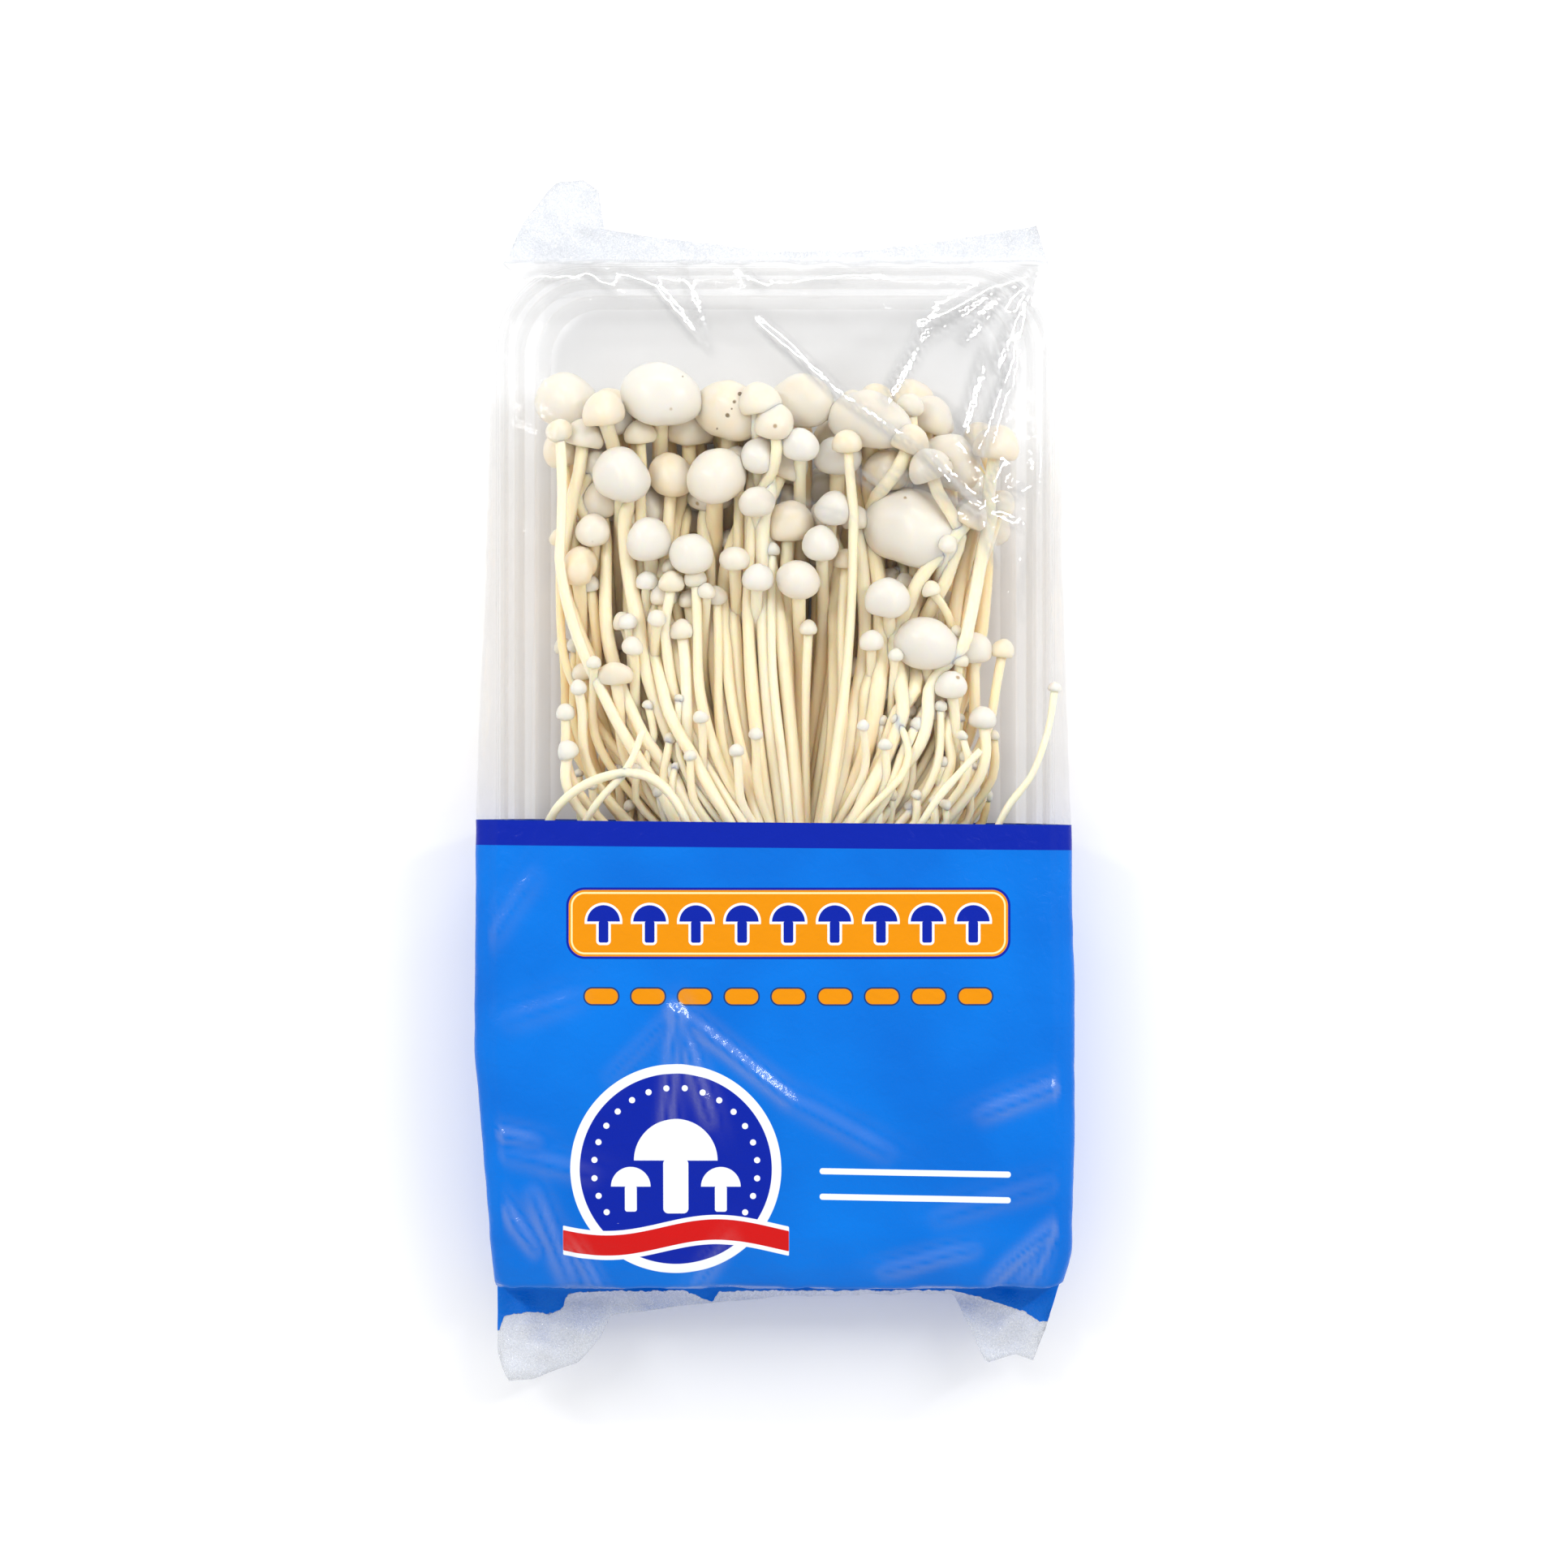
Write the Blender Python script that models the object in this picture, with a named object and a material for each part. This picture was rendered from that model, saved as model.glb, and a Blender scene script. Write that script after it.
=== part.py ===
"""Enoki mushroom bunch in its retail pack: a clear tray, the bunch, and a printed film wrap.

The pack lies on its back on the plane Z = 0, with its length along Y and the caps towards +Y.
The origin is the middle of its footprint. Lengths here are in millimetres, and mesh_object
turns them into metres.
"""

import bpy
import numpy as np

MM = 0.001

# Tray: the floor, and the lines of its stepped wall as (distance outside the floor's edge,
# height above the floor). The last lines are the flat rim and its turned-down lip.
TRAY_MIDDLE_Y = 1.0
TRAY_LIFT = 0.6
TRAY_WALL = 0.5
FLOOR_HALF_WIDTH = 41.5
FLOOR_HALF_LENGTH = 87.0
FLOOR_CORNER = 9.5
END_WALL_SHARE = 0.65
WALL_LINES = (
    (0.0, 0.0), (1.2, 1.0), (3.0, 7.9), (5.4, 8.6), (6.4, 14.9), (8.0, 15.6), (8.6, 20.9),
    (9.2, 21.4), (9.3, 20.2),
)
CORNER_STEPS = 6

# Film wrap: a tube of film that flattens into a sealed fin at each end. The outlines are the
# pack's own uneven edges, seen from above.
FILM_WALL = 0.25
FLAT_HALF_WIDTH = 42.3
FIN_HALF_THICKNESS = 0.6
FIN_HEIGHT = 11.0
LEFT_EDGE = (
    (-94.0, -51.6), (-80.0, -52.5), (-50.0, -55.1), (-8.0, -55.1), (39.0, -53.0), (83.0, -52.1),
    (96.0, -50.5),
)
RIGHT_EDGE = (
    (-94.0, 52.8), (-87.0, 54.6), (-50.0, 55.0), (-8.0, 54.3), (39.0, 52.6), (90.0, 53.0),
    (96.0, 51.0),
)
FOOT_FIN_EDGE = (
    (-51.5, -106.0), (-49.5, -111.2), (-45.0, -111.0), (-36.5, -108.0), (-32.5, -103.5),
    (-30.5, -99.4), (-23.0, -98.3), (0.0, -96.1), (33.0, -95.4), (36.0, -101.5), (39.0, -107.9),
    (44.5, -106.5), (48.0, -107.9), (51.0, -99.1),
)
HEAD_FIN_EDGE = (
    (-48.8, 99.3), (-46.6, 103.4), (-42.5, 108.9), (-40.4, 110.8), (-35.5, 111.1), (-32.6, 109.0),
    (-31.8, 102.2), (-25.0, 101.0), (0.0, 98.1), (20.0, 98.6), (35.0, 100.6), (48.4, 102.5),
)
# Height of its crown along the pack, and of its shoulders over the tray's rim.
CROWN = (
    (-94.0, 23.4), (-84.0, 25.5), (-60.0, 28.0), (-8.0, 29.5), (30.0, 31.0), (62.0, 31.0),
    (78.0, 28.5), (88.0, 26.0), (96.0, 24.0),
)
CROWN_RISE_MIN = 0.8
SHOULDER_MAX = 26.0
SIDE_WALL_BELOW_SHOULDER = 0.5
TOP_FACE_INSET = 5.0
# The film's side wall as (share of the way from the flat underside to the edge, height).
SIDE_LINES = ((0.28, 0.9), (0.50, 5.5), (0.70, 12.0), (0.88, 18.0), (0.98, 21.0), (1.0, 22.2))
# Its shoulder as (distance inside the edge, depth below the shoulder's height).
SHOULDER_LINES = ((0.7, 0.9), (2.6, 0.1))
ACROSS_SHARES = (0.94, 0.88, 0.80, 0.72, 0.64, 0.60, 0.45, 0.30, 0.15)
# Lines across the wrap between its ends, and the steps from there to a fin, each with its place
# on the upper and the lower face, measured outwards from the tray's rim, and its share of fin.
BODY_LINES = (-60.0, -34.0, -8.0, 16.0, 40.0, 62.0)
END_STEPS = (
    (-8.0, -9.0, 0.0), (-2.5, -6.0, 0.0), (1.1, -3.5, 0.06), (1.8, 0.0, 0.55), (2.0, 1.4, 1.0),
)

# Root base: the fused butt that every stem grows from.
BASE_HALF_WIDTH = 35.0
BASE_HALF_HEIGHT = 9.6
BASE_MIDDLE_Z = 12.0
BASE_BACK_Y = -83.0
BASE_FRONT_Y = -68.0
BASE_SIDES = 28
BASE_SQUARENESS = 0.57
BASE_LUMPS = 0.024
# Its size at shares of the way from its trimmed back to its front.
BASE_SWELLS = ((0.0, 0.82), (0.12, 0.97), (0.45, 1.0), (0.8, 0.98), (1.0, 0.93))

# Mushrooms: each cap's place across and along the pack, its diameter, and how far its top lies
# below the film.
CAPS = (
    (-37.0, 70.5, 11.0, 5.0), (-19.5, 71.0, 13.0, 1.0), (-29.0, 67.0, 7.0, 6.5),
    (-28.0, 56.5, 11.0, 0.5), (-10.5, 56.0, 11.0, 0.5), (-9.5, 68.5, 12.5, 4.0),
    (-3.0, 59.5, 7.0, 3.0), (-2.0, 64.0, 10.0, 10.0), (-4.0, 51.0, 6.5, 1.5),
    (-33.5, 46.0, 6.5, 4.5), (-36.0, 39.5, 7.5, 3.0), (-23.0, 44.5, 9.0, 1.5),
    (-15.5, 41.5, 8.0, 0.5), (-7.5, 40.5, 5.5, 2.0), (-3.0, 37.0, 6.0, 1.0),
    (17.5, 66.5, 12.0, 2.0), (4.0, 70.0, 11.0, 5.0), (4.5, 61.5, 7.0, 1.0),
    (11.5, 60.0, 8.5, 6.5), (32.0, 59.0, 11.0, 4.0), (10.5, 50.0, 7.0, 3.0),
    (8.0, 43.5, 7.0, 1.5), (4.5, 37.0, 8.0, 0.5), (26.0, 47.0, 16.0, 1.0),
    (20.5, 33.5, 8.0, 0.5), (28.0, 25.5, 11.0, 0.5), (36.0, 24.5, 6.5, 4.5),
    (17.5, 25.5, 4.5, 3.0), (22.0, 22.8, 2.8, 2.5), (24.3, 17.6, 5.2, 9.5),
    (32.0, 17.5, 6.0, 2.0), (30.5, 12.5, 3.4, 5.5), (38.0, 11.5, 5.0, 4.0),
    (20.0, 6.5, 2.6, 1.0), (16.0, 10.0, 2.4, 1.0), (24.0, 13.0, 3.6, 8.0),
    (24.0, 7.5, 3.4, 6.0), (-23.5, 36.5, 4.0, 5.0), (-12.5, 34.5, 3.4, 4.0),
    (-27.0, 29.0, 3.4, 4.0), (-21.5, 29.5, 3.6, 2.0), (-26.0, 24.5, 4.0, 2.0),
    (-32.5, 21.5, 2.8, 2.0), (-29.5, 19.5, 5.5, 2.0), (-35.5, 17.0, 3.2, 3.5),
    (-38.0, 12.5, 3.6, 4.5), (-38.0, 5.5, 4.2, 2.0), (-13.5, 11.5, 2.8, 1.0),
    (-15.5, 4.5, 2.4, 1.0), (-7.0, 5.5, 2.8, 1.0), (-3.5, 8.5, 2.8, 0.5),
)
CAP_HEIGHT_SHARE = 0.74
# A cap's outline from its hollow underside over the rolled rim to its crown, as (share of its
# height, share of its radius).
CAP_PROFILE = ((0.02, 0.62), (0.14, 0.92), (0.36, 1.0), (0.64, 0.85), (0.86, 0.52))
CAP_UNDERSIDE = 0.12
CAP_MIDDLE = 0.45
CAP_CROWN_HEIGHT = 0.985
CAP_CROWN_WIDTH = 0.24
STEM_THIN = 0.52
STEM_GROWTH = 0.07
STEM_THICK = 1.45
STEM_CLEARANCE = 0.3
CAP_SIDES = 7
SMALL_CAP_SIDES = 5
STATIONS_PER_RING = 2
SHORTEST_STEM_PIECE = 6.0
# A cap leans up from its stem, and a small one less. Its axis follows the stem sideways.
CAP_TILT_DEGREES = 38.0
SMALL_CAP = 6.0
SMALL_CAP_TILT_DEGREES = 23.0
SIDE_LEAN = 0.8

# The stems' feet stand in rows on the root base, with the farthest caps' in the lowest row.
FOOT_ROWS = 5
FOOT_HALF_WIDTH = 27.0
FOOT_HALF_HEIGHT = 7.1
# From there the stems gather in a waist, and spread to their caps. A stem's place in the waist
# is a share of its cap's distance from the middle, as far as its lean allows.
WAIST_Y = -12.0
WAIST_MIDDLE_X = 2.5
WAIST_SHARE = 0.42
WAIST_LEAN = 0.45
WAIST_EASE = 0.8
SPREAD_RATE = 1.45
# They lie in layers, and reach them and leave them for their caps at these shares of their length.
LAYER_LOW_Z = 5.0
LAYER_HIGH_Z = 24.0
LAYER_START = 0.35
LAYER_END = 0.72
# Each sways from side to side by up to this much.
SWAY = 0.8

# The stems are kept apart on lines across the pack, in rounds of small pushes. On a line a
# cap counts as at least this long and this wide.
STATION_STEP = 4.0
SHORTEST_CAP_REACH = 2.04
SMALLEST_CAP_SLICE = 0.2
SETTLE_ROUNDS = 500
SETTLE_GAP = 0.55
SLANT_ALLOWANCE = 1.04
LARGEST_PUSH = 1.0
CAP_WEIGHT = 0.15
CAP_PULL_HOME = 0.02
CALM_SHARE = 0.8
EVENNESS = 0.3
LAST_EVENNESS = 0.02
SEED = 8

# The stray mushroom lies over the tray's right rim: points along its stem, up to its cap.
STRAY_STEM = (
    (37.0, -17.0, 24.2), (41.9, -6.0, 24.1), (46.9, 1.0, 24.0), (49.8, 9.0, 23.9),
    (50.9, 15.5, 23.9),
)
STRAY_RADIUS = 0.55
STRAY_CAP_DIAMETER = 2.4
STRAY_CAP_REACH = 1.44
STRAY_TILT_DEGREES = 5.0

COLOURS = {
    "clear_pet": ((0.86, 0.88, 0.90), 0.12),
    "printed_film": ((0.02, 0.20, 0.75), 0.22),
    "enoki": ((0.92, 0.84, 0.66), 0.45),
    "enoki_butt": ((0.74, 0.62, 0.42), 0.7),
}


def material(slot):
    """A Principled material in the slot's colour and roughness."""
    colour, roughness = COLOURS[slot]
    made = bpy.data.materials.get(slot) or bpy.data.materials.new(slot)
    made.use_nodes = True
    shader = made.node_tree.nodes["Principled BSDF"]
    shader.inputs["Base Color"].default_value = (*colour, 1.0)
    shader.inputs["Roughness"].default_value = roughness
    return made


def along(pairs, at):
    """The value at a place on a line given by (place, value) pairs."""
    return np.interp(at, [place for place, _ in pairs], [value for _, value in pairs])


def mesh_object(name, rings, slot, first_face=True, last_face=True):
    """A skin through closed rings of points, as one named object, with a face on its ends."""
    count = len(rings[0])
    points = np.concatenate([np.asarray(ring, float) for ring in rings]) * MM
    faces = []
    for low in range(0, (len(rings) - 1) * count, count):
        for side in range(count):
            after = (side + 1) % count
            faces.append((low + side, low + after, low + count + after, low + count + side))
    if first_face:
        faces.append(tuple(range(count - 1, -1, -1)))
    if last_face:
        faces.append(tuple(range((len(rings) - 1) * count, len(rings) * count)))
    mesh = bpy.data.meshes.new(name)
    mesh.from_pydata([tuple(point) for point in points], [], faces)
    mesh.shade_smooth()
    made = bpy.data.objects.new(name, mesh)
    made.data.materials.append(material(slot))
    bpy.context.scene.collection.objects.link(made)
    return made


def thicken(made, wall):
    """Give an open skin its wall, on the inner side."""
    solid = made.modifiers.new("wall", "SOLIDIFY")
    solid.thickness = wall * MM
    solid.offset = -1.0


def rounded_rectangle(half_width, half_length, corner, middle_y, height):
    """Points round a rectangle with round corners, counter-clockwise from above."""
    points = []
    for quarter, (sign_x, sign_y) in enumerate(((1, 1), (-1, 1), (-1, -1), (1, -1))):
        for step in range(CORNER_STEPS):
            angle = np.radians(90.0) * (quarter + step / (CORNER_STEPS - 1))
            x = sign_x * (half_width - corner) + corner * np.cos(angle)
            y = sign_y * (half_length - corner) + corner * np.sin(angle)
            points.append((x, middle_y + y, height))
    return points


def make_tray():
    """The thermoformed tray: a floor and stepped walls up to a rim with a turned-down lip."""
    rings = []
    for outset, height in WALL_LINES:
        rings.append(rounded_rectangle(
            FLOOR_HALF_WIDTH + outset,
            FLOOR_HALF_LENGTH + outset * END_WALL_SHARE,
            FLOOR_CORNER + outset * END_WALL_SHARE,
            TRAY_MIDDLE_Y,
            TRAY_LIFT + height,
        ))
    tray = mesh_object("tray", rings, "clear_pet", last_face=False)
    thicken(tray, TRAY_WALL)


def shoulder_height(y):
    """Height of the film where it turns down over the tray's rim."""
    return np.minimum(along(CROWN, y) - CROWN_RISE_MIN, SHOULDER_MAX)


def film_top(x, y):
    """Height of the film's outer face over the pack."""
    edge = np.where(np.asarray(x) < 0.0, -along(LEFT_EDGE, y), along(RIGHT_EDGE, y))
    rise = np.clip(1.0 - (np.asarray(x) / edge) ** 2, 0.0, 1.0)
    return shoulder_height(y) + (along(CROWN, y) - shoulder_height(y)) * rise


def film_side(edge, y_top, y_low, fin, fin_edge):
    """Half a ring of film on one side, from the middle of the underside up to the crown's.

    edge is the half width of that side with its sign. fin is 0 in the body and 1 in a fin,
    and fin_edge gives the fin's own outline where the ring is its edge.
    """
    sign = np.sign(edge)
    half = abs(edge)
    shoulder = shoulder_height(y_top)
    fin_half = half - FIN_HALF_THICKNESS
    points = []

    def put(body_x, body_z, fin_x, fin_z, upper):
        x = sign * ((1.0 - fin) * body_x + fin * fin_x)
        z = (1.0 - fin) * body_z + fin * fin_z
        y = y_low + (y_top - y_low) * upper
        points.append((x, y if fin_edge is None else along(fin_edge, x), z))

    low, high = FIN_HEIGHT - FIN_HALF_THICKNESS, FIN_HEIGHT + FIN_HALF_THICKNESS
    for share in ACROSS_SHARES[::-1] + (1.0,):
        put(share * FLAT_HALF_WIDTH, 0.0, share * fin_half, low, 0.0)
    turns = len(SIDE_LINES) + len(SHOULDER_LINES)
    for step in range(turns):
        angle = np.pi * ((step + 1) / (turns + 1) - 0.5)
        if step < len(SIDE_LINES):
            share, height = SIDE_LINES[step]
            body_x = FLAT_HALF_WIDTH + (half - FLAT_HALF_WIDTH) * share
            body_z = min(height, shoulder - SIDE_WALL_BELOW_SHOULDER)
        else:
            inside, below = SHOULDER_LINES[step - len(SIDE_LINES)]
            body_x = half - inside
            body_z = shoulder - below
        fin_x = fin_half + FIN_HALF_THICKNESS * np.cos(angle)
        fin_z = FIN_HEIGHT + FIN_HALF_THICKNESS * np.sin(angle)
        put(body_x, body_z, fin_x, fin_z, (step + 1) / (turns + 1))
    for share in (1.0,) + ACROSS_SHARES:
        body_x = share * (half - TOP_FACE_INSET)
        put(body_x, film_top(sign * body_x, y_top), share * fin_half, high, 1.0)
    return points


def film_ring(y_top, y_low, fin, fin_edge=None):
    """One closed ring of film, with its two middle points."""
    place = y_top if fin_edge is None else fin_edge[0][1]
    left, right = along(LEFT_EDGE, place), along(RIGHT_EDGE, place)
    if fin_edge is not None:
        left, right = fin_edge[0][0], fin_edge[-1][0]
    right_side = film_side(right, y_top, y_low, fin, fin_edge)
    left_side = film_side(left, y_top, y_low, fin, fin_edge)
    y_middle_low = y_low if fin_edge is None else along(fin_edge, 0.0)
    y_middle_top = y_top if fin_edge is None else along(fin_edge, 0.0)
    low = (0.0, y_middle_low, fin * (FIN_HEIGHT - FIN_HALF_THICKNESS))
    top_z = (1.0 - fin) * film_top(0.0, y_top) + fin * (FIN_HEIGHT + FIN_HALF_THICKNESS)
    return [low] + right_side + [(0.0, y_middle_top, top_z)] + left_side[::-1]


def make_film():
    """The film wrap: a tube with a flat underside that flattens into a fin at each end."""
    foot = TRAY_MIDDLE_Y - FLOOR_HALF_LENGTH - WALL_LINES[-1][0] * END_WALL_SHARE
    head = TRAY_MIDDLE_Y + FLOOR_HALF_LENGTH + WALL_LINES[-1][0] * END_WALL_SHARE
    rings = [film_ring(foot, foot, 1.0, FOOT_FIN_EDGE)]
    for top, low, fin in END_STEPS[::-1]:
        rings.append(film_ring(foot - top, foot - low, fin))
    for y in BODY_LINES:
        rings.append(film_ring(y, y, 0.0))
    for top, low, fin in END_STEPS:
        rings.append(film_ring(head + top, head + low, fin))
    rings.append(film_ring(head, head, 1.0, HEAD_FIN_EDGE))
    rings = [ring[::-1] for ring in rings]
    film = mesh_object("film_wrap", rings, "printed_film", first_face=False, last_face=False)
    thicken(film, FILM_WALL)


def make_root_base():
    """The butt: a lumpy flat block of fused stem feet with a trimmed back."""
    rings = []
    for share, swell in BASE_SWELLS:
        ring = []
        for side in range(BASE_SIDES):
            angle = 2.0 * np.pi * side / BASE_SIDES
            size = swell * (1.0 + BASE_LUMPS * (np.sin(5.0 * angle + 3.0 * share) + np.sin(9.0 * angle)))
            x = np.sign(np.cos(angle)) * abs(np.cos(angle)) ** BASE_SQUARENESS * BASE_HALF_WIDTH
            z = np.sign(np.sin(angle)) * abs(np.sin(angle)) ** BASE_SQUARENESS * BASE_HALF_HEIGHT
            y = BASE_BACK_Y + share * (BASE_FRONT_Y - BASE_BACK_Y)
            ring.append((x * size, y, BASE_MIDDLE_Z + z * size))
        rings.append(ring[::-1])
    mesh_object("root_base", rings, "enoki_butt")


def stem_radius(cap_diameter):
    """Stems grow thicker with their caps, up to a limit."""
    return min(STEM_THIN + STEM_GROWTH * cap_diameter, STEM_THICK)


def inner_half_width(z):
    """Half width between the tray's walls at a height."""
    outsets = [outset for outset, _ in WALL_LINES[:-2]]
    heights = [TRAY_LIFT + height for _, height in WALL_LINES[:-2]]
    return FLOOR_HALF_WIDTH - TRAY_WALL + np.interp(z, heights, outsets)


def stations():
    """Lines across the pack on which the stems are kept apart."""
    caps = np.array(CAPS)
    last = caps[:, 1].max() + caps[:, 2].max() / 2.0
    return np.arange(BASE_FRONT_Y + STEM_CLEARANCE, last, STATION_STEP)


def feet(caps):
    """Where the stems stand on the root base, and the layer that each lies in.

    The farthest caps' stems stand lowest. In a row they keep the order of their caps.
    """
    count = len(caps)
    rank = np.empty(count)
    rank[np.argsort(-caps[:, 1])] = np.arange(count)
    row = np.minimum((rank * FOOT_ROWS / count).astype(int), FOOT_ROWS - 1)
    x = np.empty(count)
    for level in range(FOOT_ROWS):
        members = np.flatnonzero(row == level)
        members = members[np.argsort(caps[members, 0])]
        x[members] = np.linspace(-1.0, 1.0, len(members)) * (FOOT_HALF_WIDTH + level % 2)
    z = BASE_MIDDLE_Z + (2.0 * row / (FOOT_ROWS - 1.0) - 1.0) * FOOT_HALF_HEIGHT
    layer_z = LAYER_LOW_Z + (LAYER_HIGH_Z - LAYER_LOW_Z) * rank / count
    return x, z, layer_z


def run_across(caps, foot_x, sway, lines):
    """Each stem's place across the pack on every line: foot, waist, and out to the cap."""
    cap_x, cap_y = caps[:, 0], caps[:, 1]
    most = WAIST_LEAN * (cap_y - WAIST_Y)
    waist_x = cap_x - np.clip(cap_x - WAIST_MIDDLE_X - WAIST_SHARE * cap_x, -most, most)
    below = np.clip((lines - lines[0]) / (WAIST_Y - lines[0]), 0.0, 1.0)
    above = np.clip((lines[None, :] - WAIST_Y) / (cap_y - WAIST_Y)[:, None], 0.0, 1.0)
    spread = np.sin(np.pi / 2.0 * np.minimum(SPREAD_RATE * above, 1.0))
    x = foot_x[:, None] + (waist_x - foot_x)[:, None] * below[None, :] ** WAIST_EASE
    x = x + (cap_x - waist_x)[:, None] * spread
    return x + sway[:, None] * np.sin(2.0 * np.pi * above)


def run_up(caps, cap_z, foot_z, layer_z, lines):
    """Each stem's height on every line: foot, layer, and up to the cap."""
    share = (lines[None, :] - lines[0]) / (caps[:, 1] - lines[0])[:, None]
    z = foot_z[:, None] + (layer_z - foot_z)[:, None] * np.clip(share / LAYER_START, 0.0, 1.0)
    rise = np.clip((share - LAYER_END) / (1.0 - LAYER_END), 0.0, 1.0) ** 2
    return z + (cap_z[:, None] - z) * rise


def sizes(caps, x, lines):
    """Where each mushroom is cap and where it is stem, and its radius on every line."""
    radius = caps[:, 2] / 2.0
    thin = np.array([stem_radius(diameter) for diameter in caps[:, 2]])
    reach = lines[None, :] - caps[:, 1][:, None]
    in_cap = np.abs(reach) <= np.maximum(radius, SHORTEST_CAP_REACH)[:, None]
    in_stem = (reach <= 0.0) & ~in_cap
    slant = np.sqrt(1.0 + np.gradient(x, STATION_STEP, axis=1) ** 2) * SLANT_ALLOWANCE
    size = np.where(in_stem, thin[:, None] * slant, 0.0)
    globe = np.sqrt(np.maximum(radius[:, None] ** 2 - reach ** 2, SMALLEST_CAP_SLICE ** 2))
    return in_cap, in_stem, np.where(in_cap, globe, size)


def settle():
    """Lay the stems and caps out between the tray's floor and the film, clear of each other.

    Each round pushes neighbours apart on every line, evens each stem out, and keeps it inside
    the pack. A cap moves as one.
    """
    caps = np.array(CAPS)
    count = len(caps)
    lines = stations()
    foot_x, foot_z, layer_z = feet(caps)
    sway = np.random.default_rng(SEED).uniform(-SWAY, SWAY, count)
    ceiling = film_top(caps[:, 0], caps[:, 1]) - FILM_WALL - STEM_CLEARANCE
    cap_z = ceiling - caps[:, 3] - caps[:, 2] / 2.0
    x = run_across(caps, foot_x, sway, lines)
    z = run_up(caps, cap_z, foot_z, layer_z, lines)
    in_cap, in_stem, size = sizes(caps, x, lines)
    present = size > 0.0
    x = np.where(in_cap, caps[:, 0][:, None], x)
    z = np.where(in_cap, cap_z[:, None], z)
    start_x, start_z = x, z
    both = present[:, None, :] & present[None, :, :] & ~np.eye(count, dtype=bool)[:, :, None]
    weight = np.where(in_cap, CAP_WEIGHT, 1.0)
    yields = weight[:, None, :] / (weight[:, None, :] + weight[None, :, :])

    for turn in range(SETTLE_ROUNDS):
        gap_x = x[:, None, :] - x[None, :, :]
        gap_z = z[:, None, :] - z[None, :, :]
        distance = np.sqrt(gap_x ** 2 + gap_z ** 2) + 1e-6
        overlap = size[:, None, :] + size[None, :, :] + SETTLE_GAP - distance
        push = np.where(both & (overlap > 0.0), overlap, 0.0) * yields / distance
        x = x + np.clip((push * gap_x).sum(axis=1), -LARGEST_PUSH, LARGEST_PUSH)
        z = z + np.clip((push * gap_z).sum(axis=1), -LARGEST_PUSH, LARGEST_PUSH)
        calm = max(1.0 - turn / (CALM_SHARE * SETTLE_ROUNDS), 0.0)
        for values, start in ((x, start_x), (z, start_z)):
            moved = values - start
            bend = moved[:, :-2] + moved[:, 2:] - 2.0 * moved[:, 1:-1]
            free = in_stem[:, 1:-1] & present[:, 2:]
            values[:, 1:-1] += np.where(free, (EVENNESS * calm + LAST_EVENNESS) * bend, 0.0)
        floor_z = TRAY_LIFT + TRAY_WALL + STEM_CLEARANCE + size
        top_z = film_top(x, lines[None, :]) - FILM_WALL - STEM_CLEARANCE - size
        z = np.clip(z, floor_z, top_z)
        side = inner_half_width(z) - STEM_CLEARANCE - size
        x = np.clip(x, -side, side)
        home = CAP_PULL_HOME if calm > 0.0 else 0.0
        for one in range(count):
            held = in_cap[one]
            x[one, held] = x[one, held].mean() * (1.0 - home) + caps[one, 0] * home
            z[one, held] = z[one, held].mean() * (1.0 - home) + cap_z[one] * home
        x[:, 0], z[:, 0] = foot_x, foot_z

    stems = []
    centres = []
    for one in range(count):
        places = np.flatnonzero(in_stem[one])
        held = in_cap[one]
        stems.append(np.stack([x[one, places], lines[places], z[one, places]], axis=1))
        centres.append(np.array((x[one, held].mean(), caps[one, 1], z[one, held].mean())))
    return stems, centres


def ring_round(centre, direction, radius, sides):
    """A ring of points round a centre, square to a direction."""
    across = np.array((1.0, 0.0, 0.0)) - direction * direction[0]
    across /= np.linalg.norm(across)
    upright = np.cross(direction, across)
    turns = np.linspace(0.0, 2.0 * np.pi, sides, endpoint=False)
    return centre + radius * (np.cos(turns)[:, None] * across + np.sin(turns)[:, None] * upright)


def make_mushroom(name, stem, centre, diameter, radius, tilt_degrees):
    """A stem along its places and the cap on it, which leans up from the stem."""
    sides = SMALL_CAP_SIDES if diameter < SMALL_CAP else CAP_SIDES
    height = CAP_HEIGHT_SHARE * diameter
    tilt = np.radians(tilt_degrees)
    lean = stem[-1] - stem[-2]
    lean = lean / np.linalg.norm(lean)
    axis = np.array((lean[0] * SIDE_LEAN, np.cos(tilt), np.sin(tilt)))
    axis /= np.linalg.norm(axis)
    bottom = centre - axis * CAP_MIDDLE * height
    neck = bottom + axis * CAP_UNDERSIDE * height
    path = list(stem[:-1:STATIONS_PER_RING]) + [stem[-1]]
    if np.linalg.norm(path[-1] - path[-2]) < SHORTEST_STEM_PIECE and len(path) > 3:
        path.pop(-2)
    path.append(neck)
    rings = []
    for place, point in enumerate(path):
        before, after = path[max(place - 1, 0)], path[min(place + 1, len(path) - 1)]
        direction = (after - before) / np.linalg.norm(after - before)
        if place == 0:
            direction = np.array((0.0, 1.0, 0.0))
        if place == len(path) - 1:
            direction = axis
        rings.append(ring_round(point, direction, radius, sides))
    for share, width in CAP_PROFILE:
        rings.append(ring_round(bottom + axis * share * height, axis, width * diameter / 2.0, sides))
    crown = bottom + axis * CAP_CROWN_HEIGHT * height
    rings.append(ring_round(crown, axis, CAP_CROWN_WIDTH * diameter / 2.0, sides))
    mesh_object(name, rings, "enoki")


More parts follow.
